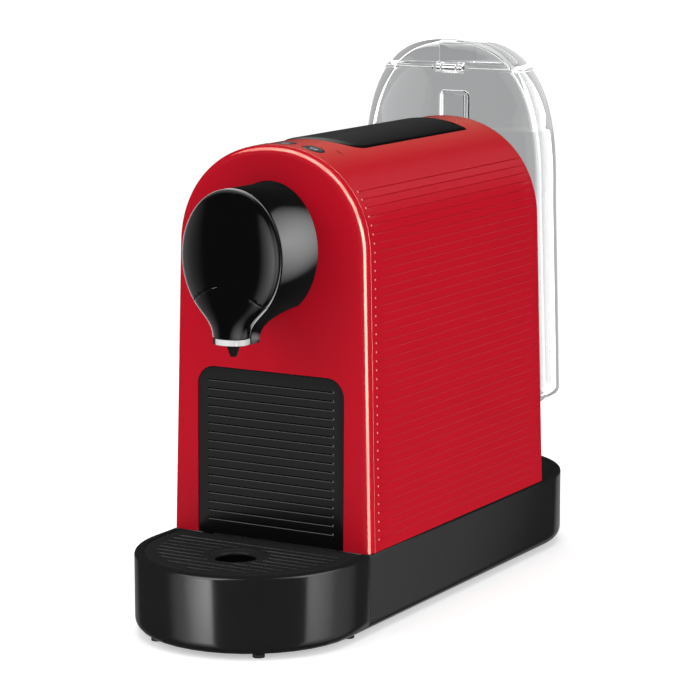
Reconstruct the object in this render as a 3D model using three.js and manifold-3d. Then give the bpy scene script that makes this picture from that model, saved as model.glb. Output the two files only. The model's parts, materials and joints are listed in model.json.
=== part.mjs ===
// Slim capsule espresso machine, built as an assembly of separate pieces.
// Millimetres, +Z up. The origin is on the table at the middle of the footprint.
// The front faces -Y, and +X is on the right of a user who faces it.
import * as THREE from 'three';
import { mergeVertices } from 'three/addons/utils/BufferGeometryUtils.js';
import Module from 'manifold-3d';

const wasm = await Module();
wasm.setup();

// ---- driving dimensions -------------------------------------------------------------
const GAP = 0.3; // clearance between pieces that touch
const WALL = 2.5; // moulded wall thickness

// base: a stadium in plan, 125 x 360
const BASE_HALF_WIDTH = 62.5;
const BASE_HALF_LENGTH = 180;
const BASE_CENTRE_Y = BASE_HALF_LENGTH - BASE_HALF_WIDTH;
const FOOT_HEIGHT = 2;
const PLATE_TOP = 5.2;
const BASE_TOP = 44;
const BASE_BOTTOM_FILLET = 6.7;
const BASE_TOP_FILLET = 1.8;
const FOOT_RADIUS = 3.3;
const GLAND_Z = 22;

// body: arched section with leaning front and back planes
const BODY_FRONT = -99;
const FRONT_LEAN = 0.011;
const BODY_BACK = 108.7;
const BACK_LEAN = 0.017;
const SIDE_DRAFT = 0.0247;
const ARCH_Z = 200.5;
const ARCH_A = 58.65;
const ARCH_B = 57.3;
const ARCH_POWER = 2.12;
const PANEL_DEPTH = 5;

// brew head
const HEAD_Z = 203;
const HEAD_A = 29.2;
const HEAD_B = 36;
const NECK_HALF_WIDTH = 9.8;
const NECK_BOTTOM = 157.7;
const HEAD_SEAM_Y = -133;
const HEAD_FRONT_Y = -144;
const BAND_TOP = 161.2;
const SPOUT_Y = -134;
const SPOUT_TIP = 150.8;

// niche and used-capsule container
const NICHE_HALF_WIDTH = 45.9;
const NICHE_TOP = 136.8;
const NICHE_RADIUS = 10.5;
const CONTAINER_HALF_WIDTH = 38.5;
const CONTAINER_FRONT = -95;
const CONTAINER_BACK = -24;
const CONTAINER_TOP = 130;

// drip tray and grid
const TRAY_BACK = -99.3;
const GRID_INSET = 5;
const GRID_BOTTOM = 41.2;
const GRID_SLOT_RADIUS = 51;
const GRID_HOLE_RADIUS = 11.3;
const GRID_HOLE_Y = -133.5;
const SLOT_PITCH = 6.2;
const SLOT_WIDTH = 2.6;

// lever lid on the top
const LID_HALF_WIDTH = 25.5;
const LID_FRONT = -56;
const LID_REAR = 77.5;
const LID_PROUD = 0.8;
const LID_UNDER = 2;
const LEVER_AXIS = { y: 74.6, z: 255.6 };
const LEVER_PIN_RADIUS = 0.9;

// brew chamber and piston
const BREW_Z = 203;
const BREW_HALF_WIDTH = 24;
const PISTON_RADIUS = 14.2;

// water tank: superelliptic front outline with draft, half-disc plan
const TANK_AXIS_Y = 114.1;
const TANK_A = 59;
const TANK_Z = 209;
const TANK_B = 93.3;
const TANK_POWER = 2.75;
const TANK_DRAFT = 0.029;
const TANK_BOTTOM = 90;
const TANK_BOTTOM_FILLET = 5;
const TANK_SEAM = 285.5;
const TANK_CLEARANCE = 1;
const TANK_AXLE = { y: 105.2, z: 285.65 };
const VALVE_Y = 128;
const SEAT_TOP = 89.5;

// buttons and status light
const BUTTON_Y = -81;
const BUTTON_RADIUS = 5.75;
const BUTTON_XS = { left: -17.3, middle: 0, right: 17.3 };
const LIGHT = { x: 25.6, y: -68 };

// ---- materials ----------------------------------------------------------------------
const material = (color, roughness, metalness, opacity = 1) =>
  new THREE.MeshStandardMaterial({ color, roughness, metalness, opacity, transparent: opacity < 1 });

const MATERIALS = {
  red: material(0xbe1b2c, 0.38, 0),
  gloss: material(0x0c0c0e, 0.12, 0),
  satin: material(0x1a1a1b, 0.4, 0),
  matt: material(0x202022, 0.6, 0),
  chrome: material(0xd8d8d8, 0.2, 1),
  clear: material(0xdde2e6, 0.06, 0, 0.35),
  rubber: material(0x111111, 0.85, 0),
  silicone: material(0xd8d4c8, 0.6, 0),
  steel: material(0xb8b8b4, 0.35, 1),
  aluminium: material(0xb9bcc0, 0.45, 1),
  board: material(0x1d5a38, 0.5, 0),
  grey: material(0x7c7f82, 0.55, 0),
  light: material(0xe8e8e0, 0.3, 0),
};

const machine = new THREE.Group();
machine.name = 'espresso_machine';

// ---- solid helpers ------------------------------------------------------------------
function toSolid(geometry) {
  geometry.deleteAttribute('normal');
  geometry.deleteAttribute('uv');
  const merged = mergeVertices(geometry, 1e-4);
  const index = merged.index.array;
  const kept = [];
  for (let i = 0; i < index.length; i += 3) {
    const [a, b, c] = [index[i], index[i + 1], index[i + 2]];
    if (a !== b && b !== c && c !== a) kept.push(a, b, c);
  }
  return new wasm.Manifold(new wasm.Mesh({
    numProp: 3,
    vertProperties: new Float32Array(merged.attributes.position.array),
    triVerts: new Uint32Array(kept),
  }));
}

function toGeometry(solid) {
  const mesh = solid.getMesh();
  const geometry = new THREE.BufferGeometry();
  geometry.setAttribute('position', new THREE.BufferAttribute(mesh.vertProperties, 3));
  geometry.setIndex(new THREE.BufferAttribute(mesh.triVerts, 1));
  geometry.computeVertexNormals();
  return geometry;
}

function addPiece(name, solid, finish) {
  const mesh = new THREE.Mesh(toGeometry(solid), MATERIALS[finish]);
  mesh.name = name;
  machine.add(mesh);
}

const join = (first, ...others) => others.reduce((sum, other) => sum.add(other), first);
const cut = (first, ...others) => others.reduce((rest, other) => rest.subtract(other), first);

function box(x0, x1, y0, y1, z0, z1) {
  const geometry = new THREE.BoxGeometry(x1 - x0, y1 - y0, z1 - z0);
  geometry.translate((x0 + x1) / 2, (y0 + y1) / 2, (z0 + z1) / 2);
  return toSolid(geometry);
}

function rodZ(x, y, z0, z1, radius, segments = 20) {
  const geometry = new THREE.CylinderGeometry(radius, radius, z1 - z0, segments);
  geometry.rotateX(Math.PI / 2);
  geometry.translate(x, y, (z0 + z1) / 2);
  return toSolid(geometry);
}

function rodX(y, z, x0, x1, radius, segments = 16) {
  const geometry = new THREE.CylinderGeometry(radius, radius, x1 - x0, segments);
  geometry.rotateZ(Math.PI / 2);
  geometry.translate((x0 + x1) / 2, y, z);
  return toSolid(geometry);
}

function rodY(x, z, y0, y1, radius, segments = 20) {
  const geometry = new THREE.CylinderGeometry(radius, radius, y1 - y0, segments);
  geometry.translate(x, (y0 + y1) / 2, z);
  return toSolid(geometry);
}

function asShape(points) {
  return new THREE.Shape(points.map(([u, v]) => new THREE.Vector2(u, v)));
}

const extrude = (points, depth) =>
  new THREE.ExtrudeGeometry(asShape(points), { depth, bevelEnabled: false, steps: 1 });

// points are (x, y), raised along Z
function prismZ(points, z0, z1) {
  return toSolid(extrude(points, z1 - z0).translate(0, 0, z0));
}

// points are (x, z), run along Y
function prismY(points, y0, y1) {
  return toSolid(extrude(points, y1 - y0).rotateX(Math.PI / 2).translate(0, y1, 0));
}

// points are (y, z), run along X
function prismX(points, x0, x1) {
  const turn = new THREE.Matrix4().makeBasis(
    new THREE.Vector3(0, 1, 0), new THREE.Vector3(0, 0, 1), new THREE.Vector3(1, 0, 0),
  );
  return toSolid(extrude(points, x1 - x0).applyMatrix4(turn).translate(x0, 0, 0));
}

// horizontal rings of (x, y) points, joined from the lowest to the highest
function loftZ(rings) {
  const count = rings[0].points.length;
  const positions = rings.flatMap(({ z, points }) => points.flatMap(([x, y]) => [x, y, z]));
  const index = [];
  for (let level = 0; level + 1 < rings.length; level += 1) {
    for (let i = 0; i < count; i += 1) {
      const a = level * count + i;
      const b = level * count + ((i + 1) % count);
      index.push(a, b, b + count, a, b + count, a + count);
    }
  }
  const capOf = ({ points }) =>
    THREE.ShapeUtils.triangulateShape(points.map(([x, y]) => new THREE.Vector2(x, y)), []);
  const top = (rings.length - 1) * count;
  capOf(rings[0]).forEach(([a, b, c]) => index.push(a, c, b));
  capOf(rings[rings.length - 1]).forEach(([a, b, c]) => index.push(top + a, top + b, top + c));
  const geometry = new THREE.BufferGeometry();
  geometry.setAttribute('position', new THREE.Float32BufferAttribute(positions, 3));
  geometry.setIndex(index);
  return toSolid(geometry);
}

// a round bar bent through the given points
function hose(points, radius, steps = 12) {
  const path = new THREE.CatmullRomCurve3(points.map((p) => new THREE.Vector3(...p)));
  const section = asShape(circlePoints(0, 0, radius, 8));
  return toSolid(new THREE.ExtrudeGeometry(section, { steps, bevelEnabled: false, extrudePath: path }));
}

// ---- outlines -----------------------------------------------------------------------
function arcPoints(u, v, radius, from, to, segments) {
  return Array.from({ length: segments + 1 }, (_, i) => {
    const angle = THREE.MathUtils.degToRad(from + ((to - from) * i) / segments);
    return [u + radius * Math.cos(angle), v + radius * Math.sin(angle)];
  });
}

const circlePoints = (u, v, radius, segments) => arcPoints(u, v, radius, 0, 360, segments).slice(0, -1);

function stadium(inset, segments = 20) {
  const radius = BASE_HALF_WIDTH - inset;
  return [
    ...arcPoints(0, BASE_CENTRE_Y, radius, 0, 180, segments),
    ...arcPoints(0, -BASE_CENTRE_Y, radius, 180, 360, segments),
  ];
}

const filletInset = (radius, rise) =>
  (rise >= radius ? 0 : radius - Math.sqrt(radius ** 2 - (radius - rise) ** 2));

const baseLevel = (z, inset) => ({ z, points: stadium(inset) });

const bottomLevel = (z) => baseLevel(z, filletInset(BASE_BOTTOM_FILLET, z - FOOT_HEIGHT));

const topLevel = (drop) => baseLevel(BASE_TOP - drop, filletInset(BASE_TOP_FILLET, drop));

// the stadium body above the bottom plate, with its rounded edges
function baseBlock() {
  const low = PLATE_TOP + GAP;
  const levels = [low, low + 1.5, FOOT_HEIGHT + BASE_BOTTOM_FILLET].map(bottomLevel);
  const shoulder = [BASE_TOP_FILLET, BASE_TOP_FILLET / 3, 0].map(topLevel);
  return loftZ([...levels, ...shoulder]);
}

const stadiumBlock = (inset, z0, z1) => prismZ(stadium(inset), z0, z1);

// the body's section, wide below and arched above
function archOutline(inset, segments = 26) {
  const foot = BASE_HALF_WIDTH - inset;
  const points = [[-foot, BASE_TOP + GAP], [foot, BASE_TOP + GAP]];
  for (let i = 0; i <= segments; i += 1) {
    const angle = (Math.PI * i) / segments;
    const across = Math.abs(Math.cos(angle)) ** (2 / ARCH_POWER) * Math.sign(Math.cos(angle));
    const up = Math.abs(Math.sin(angle)) ** (2 / ARCH_POWER);
    points.push([(ARCH_A - inset) * across, ARCH_Z + (ARCH_B - inset) * up]);
  }
  return points;
}

const archHeight = (x) => {
  const across = (Math.abs(x) / ARCH_A) ** ARCH_POWER;
  return ARCH_Z + ARCH_B * (1 - across) ** (1 / ARCH_POWER);
};

const frontY = (z) => BODY_FRONT + FRONT_LEAN * (z - BASE_TOP);
const backY = (z) => BODY_BACK - BACK_LEAN * (z - BASE_TOP);

// a leaning slab parallel to the body's front or back plane
function slab(plane, from, to) {
  const [low, high] = [0, 320];
  return prismX([
    [plane(low) + from, low], [plane(low) + to, low],
    [plane(high) + to, high], [plane(high) + from, high],
  ], -80, 80);
}

const frontSlab = (from, to) => slab(frontY, from, to);
const backSlab = (from, to) => slab(backY, from, to);

// ---- base ---------------------------------------------------------------------------
function makeBottomPlate() {
  const levels = [FOOT_HEIGHT, FOOT_HEIGHT + 1, FOOT_HEIGHT + 2, PLATE_TOP].map(bottomLevel);
  addPiece('base_bottom_plate', loftZ(levels), 'satin');
}

function makeFeet() {
  const spots = { front: [31.5, -161.5], middle: [53.5, -107], rear: [40, 155] };
  Object.entries(spots).forEach(([place, [x, y]]) => {
    [['left', -x], ['right', x]].forEach(([side, across]) => {
      const foot = rodZ(across, y, 0, FOOT_HEIGHT - 0.1, FOOT_RADIUS, 16);
      addPiece(`rubber_foot_${place}_${side}`, foot, 'rubber');
    });
  });
}

function makeBaseShell() {
  const rear = box(-70, 70, TRAY_BACK + 2 * GAP, 190, 0, 60);
  const inside = stadiumBlock(WALL, 0, BASE_TOP - WALL);
  const trayWay = box(-43, 43, -120, -12, 0, 60);
  const glandHole = rodY(0, GLAND_Z, 165, 190, 6.3);
  addPiece('base_shell', cut(baseBlock().intersect(rear), inside, trayWay, glandHole), 'satin');
}

function makeCordGland() {
  const wallInside = BASE_HALF_LENGTH - WALL;
  const collar = rodY(0, GLAND_Z, wallInside - 9, BASE_HALF_LENGTH - 0.2, 6);
  const flange = rodY(0, GLAND_Z, wallInside - 6, wallInside - 3, 8);
  addPiece('cord_gland', cut(join(collar, flange), rodY(0, GLAND_Z, 160, 190, 3.6)), 'rubber');
}

// ---- body ---------------------------------------------------------------------------
// the lever lid in plan: square at the rear, one sweeping curve at the front
const lidOutline = (grow) => {
  const half = LID_HALF_WIDTH + grow;
  const [front, rear] = [LID_FRONT - grow, LID_REAR + grow * 1.5];
  const left = new THREE.CubicBezierCurve(
    new THREE.Vector2(-half, -40), new THREE.Vector2(-half, -49),
    new THREE.Vector2(-16, front), new THREE.Vector2(0, front),
  ).getPoints(8).map((p) => [p.x, p.y]);
  const right = left.slice(0, -1).reverse().map(([x, y]) => [-x, y]);
  return [[-half, rear], ...left, ...right, [half, rear]];
};

function makeBodyShell() {
  const outer = prismY(archOutline(0), -120, 130);
  const inner = prismY(archOutline(WALL), -130, 140).add(box(-60, 60, -130, 140, 40, 60));
  const length = cut(box(-80, 80, -105, 115, 0, 320),
    frontSlab(-40, PANEL_DEPTH + GAP), backSlab(0, 40));
  const tops = Object.values(BUTTON_XS).map((x) =>
    rodZ(x, BUTTON_Y, 230, 270, BUTTON_RADIUS + GAP + 0.1, 24));
  const lightHole = box(LIGHT.x - 2, LIGHT.x + 2, LIGHT.y - 0.8, LIGHT.y + 0.8, 230, 270);
  const shell = cut(outer.intersect(length), inner, prismZ(lidOutline(0.4), 230, 270), lightHole, ...tops);
  addPiece('body_shell', shell, 'red');
}

const nicheOutline = (inset) => {
  const half = NICHE_HALF_WIDTH - inset;
  const top = NICHE_TOP - inset;
  const radius = NICHE_RADIUS - inset;
  const bottom = BASE_TOP + GAP;
  return [
    [-half, bottom], [half, bottom],
    ...arcPoints(half - radius, top - radius, radius, 0, 90, 6),
    ...arcPoints(radius - half, top - radius, radius, 90, 180, 6),
  ];
};

// the brew head seen from the front: an ellipse that narrows into a short neck
function headOutline(inset, bottom = NECK_BOTTOM + inset) {
  const [a, b] = [HEAD_A - inset, HEAD_B - inset];
  const neck = NECK_HALF_WIDTH - inset;
  const leave = THREE.MathUtils.degToRad(-48.6);
  const start = new THREE.Vector2(a * Math.cos(leave), HEAD_Z + b * Math.sin(leave));
  const side = new THREE.CubicBezierCurve(
    start,
    new THREE.Vector2(start.x - 5.5, start.y - 5.8),
    new THREE.Vector2(neck + 0.2, 167.5),
    new THREE.Vector2(neck, 161),
  ).getPoints(5).map((p) => [p.x, p.y]);
  const crown = Array.from({ length: 25 }, (_, i) => {
    const angle = leave + ((Math.PI - 2 * leave) * i) / 24;
    return [a * Math.cos(angle), HEAD_Z + b * Math.sin(angle)];
  });
  const right = side.slice(1).reverse();
  const left = right.map(([x, z]) => [-x, z]).reverse();
  return [[neck, bottom], ...right, ...crown, ...left, [-neck, bottom]];
}

function makeFrontPanel() {
  const dish = prismY(archOutline(0), -120, -80).intersect(frontSlab(0, PANEL_DEPTH));
  const hollow = prismY(archOutline(WALL), -120, -80).intersect(frontSlab(WALL, PANEL_DEPTH + 5));
  const nicheFoot = box(-NICHE_HALF_WIDTH, NICHE_HALF_WIDTH, -120, -80, 40, 60);
  const niche = prismY(nicheOutline(0), -120, -80).add(nicheFoot);
  const head = prismY(headOutline(-GAP), -120, -80).intersect(box(-50, 50, -120, -80, 173, 260));
  addPiece('front_panel', cut(dish, hollow, niche, head), 'red');
}

function makeRearCover() {
  const plate = prismY(archOutline(WALL + GAP), 90, 120).intersect(backSlab(-4.5, -2));
  const ventCuts = Array.from({ length: 6 }, (_, i) => box(-24, 24, 90, 120, 205 + 6 * i, 207.5 + 6 * i));
  const seatWay = box(-20.4, 20.4, 90, 120, 61.6, 86.4);
  addPiece('rear_cover', cut(plate, seatWay, ...ventCuts), 'matt');
}

function makeStatusLight() {
  const top = archHeight(LIGHT.x);
  const lens = box(LIGHT.x - 1.7, LIGHT.x + 1.7, LIGHT.y - 0.5, LIGHT.y + 0.5, top - 6, top + 4);
  addPiece('status_light_lens', lens.intersect(prismY(archOutline(0.1), -120, 0)), 'light');
}

// ---- brew head ----------------------------------------------------------------------
// underside of the housing seen from the side, (y, z)
const undersideCurve = (lift) => new THREE.CubicBezierCurve(
  new THREE.Vector2(-90, 174 + lift), new THREE.Vector2(-108, 173 + lift),
  new THREE.Vector2(-122, 171 + lift), new THREE.Vector2(-124 - lift / 2, NECK_BOTTOM + lift),
).getPoints(8).map((p) => [p.x, p.y]);

function makeHeadHousing() {
  const sideView = (lift, front, rear) => prismX([
    [front, NECK_BOTTOM + lift], ...undersideCurve(lift).reverse(),
    [rear, 174 + lift], [rear, 260], [front, 260],
  ], -60, 60);
  const seam = HEAD_SEAM_Y + 0.2;
  const outer = prismY(headOutline(0), -150, -80).intersect(sideView(0, seam, -88));
  const inner = prismY(headOutline(WALL), -160, -70).intersect(sideView(WALL, seam - 5, -80));
  const flangeFace = prismY(headOutline(-3), -150, -80);
  const flange = flangeFace.intersect(box(-50, 50, -93.8, -91.6, 170.6, 250));
  const spoutHole = rodZ(0, SPOUT_Y, 150, 170, 4.1);
  addPiece('head_housing', cut(join(outer, flange), inner, spoutHole), 'gloss');
}

// pillow-shaped front of the head: domed across and rounded over the top
function headFront() {
  const rim = -137;
  const depth = HEAD_FRONT_Y - rim;
  const bulge = (t) => rim + depth * Math.max(0, 1 - Math.abs(t) ** 2.6) ** (1 / 2.2);
  const spread = Array.from({ length: 21 }, (_, i) => Math.sin(((i / 20) * 2 - 1) * (Math.PI / 2)));
  const plan = [...spread.map((t) => [t * HEAD_A, bulge(t)]), [HEAD_A + 0.5, rim], [HEAD_A + 0.5, -120],
    [-HEAD_A - 0.5, -120], [-HEAD_A - 0.5, rim]];
  const crown = spread.filter((t) => t >= 0).map((t) => [bulge(t), HEAD_Z + t * HEAD_B]);
  const side = [[HEAD_FRONT_Y, 140], ...crown, [rim, 245], [-120, 245], [-120, 140]].reverse();
  const front = HEAD_SEAM_Y - 0.2;
  const block = prismY(headOutline(0), -150, front);
  return block.intersect(prismZ(plan, 140, 250)).intersect(prismX(side, -60, 60));
}

// the curved joint between the front cap and the spout cover, as the area below it
const belowSeam = (lift) => {
  const curve = Array.from({ length: 13 }, (_, i) => {
    const x = 36 - 6 * i;
    return [x, 188.5 - 9.5 * (x / 21) ** 2 + lift];
  });
  return prismY([[-36, 100], [36, 100], ...curve], -160, -120);
};

function makeHeadFront() {
  const hollow = prismY(headOutline(3), -139, -120);
  const spoutHole = rodZ(0, SPOUT_Y, 150, 176, 4.1);
  const shell = cut(headFront(), hollow, spoutHole);
  addPiece('head_front_cap', shell.subtract(belowSeam(0.15)), 'gloss');
  const cover = shell.intersect(belowSeam(-0.15));
  const aboveBand = box(-60, 60, -160, -120, BAND_TOP + GAP, 250);
  addPiece('head_spout_cover', cover.intersect(aboveBand), 'gloss');
  const band = headFront().intersect(box(-60, 60, -160, -120, 140, BAND_TOP));
  addPiece('head_trim_band', cut(band, spoutHole), 'chrome');
}

function makeSpout() {
  const profile = [[0.9, SPOUT_TIP], [1.6, SPOUT_TIP], [3.7, 156.5], [3.7, 172], [2, 172], [0.9, 162]];
  const closed = [...profile, profile[0]].map(([r, z]) => new THREE.Vector2(r, z));
  const geometry = new THREE.LatheGeometry(closed, 14).rotateX(Math.PI / 2).translate(0, SPOUT_Y, 0);
  addPiece('coffee_spout', toSolid(geometry), 'matt');
}

function makeCoffeeChannel() {
  const points = [[0, -62.6, 196], [0, -90, 196], [0, -118, 194], [0, -132.5, 187],
    [0, SPOUT_Y, 180], [0, SPOUT_Y, 172.4]];
  addPiece('coffee_channel', hose(points, 2.6), 'silicone');
}

// ---- tray, grid, container ----------------------------------------------------------
function makeDripTray() {
  const front = box(-70, 70, -190, TRAY_BACK, 0, 60);
  const block = baseBlock().intersect(front);
  const basin = stadiumBlock(WALL, 8, 60).intersect(box(-70, 70, -190, TRAY_BACK - WALL, 0, 60));
  const ledge = cut(block.intersect(box(-70, 70, -190, TRAY_BACK, 38.6, 60)),
    stadiumBlock(GRID_INSET + 2.4, 30, 60), box(-70, 70, TRAY_BACK - WALL, 0, 40.9, 60));
  const gridWay = stadiumBlock(GRID_INSET - GAP, 40.9, 60);
  const rearWallTop = box(-70, 70, TRAY_BACK - WALL - 0.1, 0, 40.9, 60);
  const shell = cut(join(cut(block, basin), ledge), gridWay, rearWallTop);
  const tongue = box(-41, 41, TRAY_BACK - 1, -20, PLATE_TOP + GAP, 24);
  const tongueInside = box(-CONTAINER_HALF_WIDTH - GAP, CONTAINER_HALF_WIDTH + GAP, TRAY_BACK, -22, 8, 30);
  addPiece('drip_tray', join(shell, cut(tongue, tongueInside)), 'satin');
}

function makeDripGrid() {
  const top = BASE_TOP - 0.2;
  const front = box(-70, 70, -190, TRAY_BACK - 0.2, 0, 60);
  const plate = stadiumBlock(GRID_INSET, GRID_BOTTOM, top).intersect(front);
  const slots = Array.from({ length: 10 }, (_, i) => {
    const y = -111.8 - SLOT_PITCH * i;
    const half = Math.sqrt(GRID_SLOT_RADIUS ** 2 - (y + BASE_CENTRE_Y) ** 2);
    return box(-half, half, y - SLOT_WIDTH / 2, y + SLOT_WIDTH / 2, 30, 60);
  });
  const ring = rodZ(0, GRID_HOLE_Y, 20, 70, GRID_HOLE_RADIUS + 5, 28);
  const hole = rodZ(0, GRID_HOLE_Y, 30, 60, GRID_HOLE_RADIUS, 28);
  const grooves = cut(join(...slots), ring);
  addPiece('drip_grid', cut(plate, grooves, hole), 'matt');
}

function makeContainer() {
  const [half, wall] = [CONTAINER_HALF_WIDTH, 2];
  const outer = box(-half, half, CONTAINER_FRONT, CONTAINER_BACK, 8.4, CONTAINER_TOP);
  const inner = box(wall - half, half - wall, CONTAINER_FRONT + wall, CONTAINER_BACK - wall, 10.4, 200);
  addPiece('capsule_container', cut(outer, inner), 'matt');
}

function makeNichePanel() {
  const panel = prismY(nicheOutline(GAP), -120, -80).intersect(frontSlab(0.6, 2.6));
  addPiece('niche_panel', panel, 'matt');
}

// ---- lever lid ----------------------------------------------------------------------
function makeLeverLid() {
  const { y, z } = LEVER_AXIS;
  const over = prismY(archOutline(-LID_PROUD), -100, 100);
  const under = prismY(archOutline(LID_UNDER), -110, 110);
  const rearRadius = LID_REAR - y;
  const sideView = prismX([
    [-70, 235], [LID_REAR, 235], ...arcPoints(y, z, rearRadius, 0, 90, 6), [y, 265], [-70, 265],
  ], -40, 40);
  const skin = cut(over, under).intersect(prismZ(lidOutline(0), 230, 270)).intersect(sideView);
  const knuckle = rodX(y, z, -5.8, 5.8, 2.6);
  const arm = [[56, 255.6], [72, 255.6], [70, 247], [64, 238], [59, 238]];
  const arms = [-15, 12].map((x) => prismX(arm, x, x + 3));
  const notches = [-9.4, 6.1].flatMap((x) => [
    rodX(y, z, x, x + 3.3, 2.3),
    box(x, x + 3.3, y - 3.4, y, 240, z + 0.6),
    box(x, x + 3.3, y - 0.2, y + 5, 240, z + 1.6),
  ]);
  const bore = rodX(y, z, -20, 20, LEVER_PIN_RADIUS + GAP, 12);
  addPiece('lever_lid', cut(join(skin, knuckle, ...arms), bore, ...notches), 'satin');
}

function makeLeverPin() {
  const { y, z } = LEVER_AXIS;
  addPiece('lever_hinge_pin', rodX(y, z, -9, 9, LEVER_PIN_RADIUS, 12), 'steel');
}

function makeLeverBracket() {
  const { y, z } = LEVER_AXIS;
  const plate = box(-20, 20, -14, 77, 226.3, 229.3);
  const posts = [-9, 6.5].flatMap((x) => [
    box(x, x + 2.5, y - 3, y - 0.5, 229, z),
    rodX(y, z, x, x + 2.5, 1.9),
  ]);
  const bore = rodX(y, z, -20, 20, LEVER_PIN_RADIUS + GAP / 2, 12);
  const lighten = box(-10, 10, 8, 60, 220, 240);
  addPiece('lever_bracket', cut(join(plate, ...posts), bore, lighten), 'steel');
}

// ---- brewing ------------------------------------------------------------------------
function makeInternalFrame() {
  const top = box(-52.5, 52.5, -88, 98, 138, 142);
  const legs = [-52.5, 50].map((x) => box(x, x + 2.5, -88, 98, BASE_TOP + GAP, 139));
  const capsuleWay = box(-22, 22, -58, -18, 130, 150);
  const hoseWay = box(-34, -18, 70, 96, 130, 150);
  addPiece('internal_frame', cut(join(top, ...legs), capsuleWay, hoseWay), 'steel');
}

function makeBrewChamber() {
  const block = box(-BREW_HALF_WIDTH, BREW_HALF_WIDTH, -62, 0, 142.3, 226);
  const capsuleSpace = box(-19, 19, -54, -22, 130, 240);
  const pistonBore = rodY(0, BREW_Z, -23, 10, PISTON_RADIUS + GAP, 24);
  addPiece('brew_chamber', cut(block, capsuleSpace, pistonBore), 'matt');
}

function makePiston() {
  const head = rodY(0, BREW_Z, -21.5, -6, PISTON_RADIUS, 24);
  const rod = rodY(0, BREW_Z, -7, 15.7, 5, 14);
  addPiece('brew_piston', join(head, rod), 'grey');
  const arms = [-16, 12].map((x) => box(x, x + 4, 16, 36, 205, 218));
  addPiece('piston_yoke', join(box(-16, 16, 16, 20, 191, 218), ...arms), 'steel');
}

function makeCapsuleGuide() {
  const outer = box(-21, 21, -56, -20, 226.3, 250);
  addPiece('capsule_guide', cut(outer, box(-18, 18, -53, -23, 220, 260)), 'matt');
}

function makeThermoblock() {
  const block = box(-35, 35, 20, 90, 148, 186);
  const ribs = Array.from({ length: 6 }, (_, i) => box(-30 + 11 * i, -26 + 11 * i, 20, 90, 180, 190));
  const feet = [-30, 22].map((x) => box(x, x + 8, 26, 84, 142.3, 149));
  addPiece('thermoblock', join(block, ...feet, ...ribs), 'aluminium');
}

const PUMP = { x: -12, z: 74, radius: 15 };

function makePump() {
  const { x, z, radius } = PUMP;
  const body = join(rodY(x, z, 8, 68, radius), rodY(x, z, 67, 80, 5, 12), rodY(x, z, -6, 9, 5, 12));
  addPiece('pump', body, 'grey');
  [['front', 14], ['rear', 54]].forEach(([place, y]) => {
    const block = box(x - 20, x + 20, y, y + 8, BASE_TOP + GAP, 95);
    addPiece(`pump_mount_${place}`, cut(block, rodY(x, z, y - 5, y + 15, radius + GAP)), 'rubber');
  });
}

function makeFlowMeter() {
  const post = rodZ(30, 70, BASE_TOP + GAP, 57, 6, 12);
  const outlet = rodZ(30, 70, 73, 80, 3.5, 12);
  addPiece('flow_meter', join(rodZ(30, 70, 56, 74, 13), outlet, post), 'light');
}

function makeHoses() {
  const toMeter = [[0, 97.5, 74], [0, 94, 74], [12, 86, 84], [28, 75, 92], [30, 70, 86], [30, 70, 80.5]];
  addPiece('tank_hose', hose(toMeter, 3), 'silicone');
  const toPump = [[12, 70, 62], [4, 76, 60], [-6, 90, 66], [-12, 92, 74], [-12, 80.5, 74]];
  addPiece('pump_hose', hose(toPump, 3), 'silicone');
  const rise = [
    [-12, -6.6, 74], [-12, -10, 74], [-28, -15, 76], [-42, 0, 90], [-42, 40, 110], [-31, 82, 124],
    [-26, 87.4, 138], [-26, 87.4, 147.5],
  ];
  addPiece('pressure_hose', hose(rise, 2.3, 22), 'silicone');
  const brew = [
    [-35.5, 30, 170], [-38, 30, 170], [-42, 20, 173], [-41, -10, 185],
    [-35, -34, 200], [-28, -38, 203], [-24.5, -38, 203],
  ];
  addPiece('brew_hose', hose(brew, 2.3, 16), 'silicone');
}

function makeControlBoard() {
  const chips = [[8, 66, 20], [40, 80, 26], [60, 100, 14]];
  const parts = chips.map(([y, z, size]) => box(37, 44.5, y, y + size, z, z + size));
  addPiece('control_board', join(box(44, 45.6, 0, 82, 58, 132), ...parts), 'board');
}

// ---- buttons ------------------------------------------------------------------------
function makeButtons() {
  const overArch = prismY(archOutline(-0.2), -120, 0);
  Object.entries(BUTTON_XS).forEach(([name, x]) => {
    const top = archHeight(x);
    const cap = rodZ(x, BUTTON_Y, top - 5.5, top + 6, BUTTON_RADIUS, 24).intersect(overArch);
    const stem = rodZ(x, BUTTON_Y, top - 9, top - 5, 2, 10);
    addPiece(`button_${name}`, join(cap, stem), 'matt');
  });
  const board = box(-25, 25, -89, -73, 240.5, 242);
  const switches = Object.values(BUTTON_XS).map((x) =>
    box(x - 3, x + 3, BUTTON_Y - 3, BUTTON_Y + 3, 241, archHeight(x) - 11));
  addPiece('button_switches', join(board, ...switches), 'board');
}

// ---- water tank ---------------------------------------------------------------------
const tankHalfWidth = (z) => {
  if (z <= TANK_Z) return TANK_A + TANK_DRAFT * (TANK_Z - z);
  const up = Math.min(1, (z - TANK_Z) / TANK_B);
  return TANK_A * (1 - up ** TANK_POWER) ** (1 / TANK_POWER);
};

const TANK_TOP = TANK_Z + TANK_B;

// heights of the rings that the walls run through, closer together towards the crown
const TANK_LEVELS = [91, 93, 96, 130, TANK_Z, 232, 248, 260, 270, 278, 284, 289, 293.5, 297.5, 300.5];

// half-disc plan with a short straight part in front
const tankRing = (z, half) => ({
  z,
  points: [[-half, 80], [half, 80], ...arcPoints(0, TANK_AXIS_Y, half, 0, 180, 22)],
});

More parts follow.
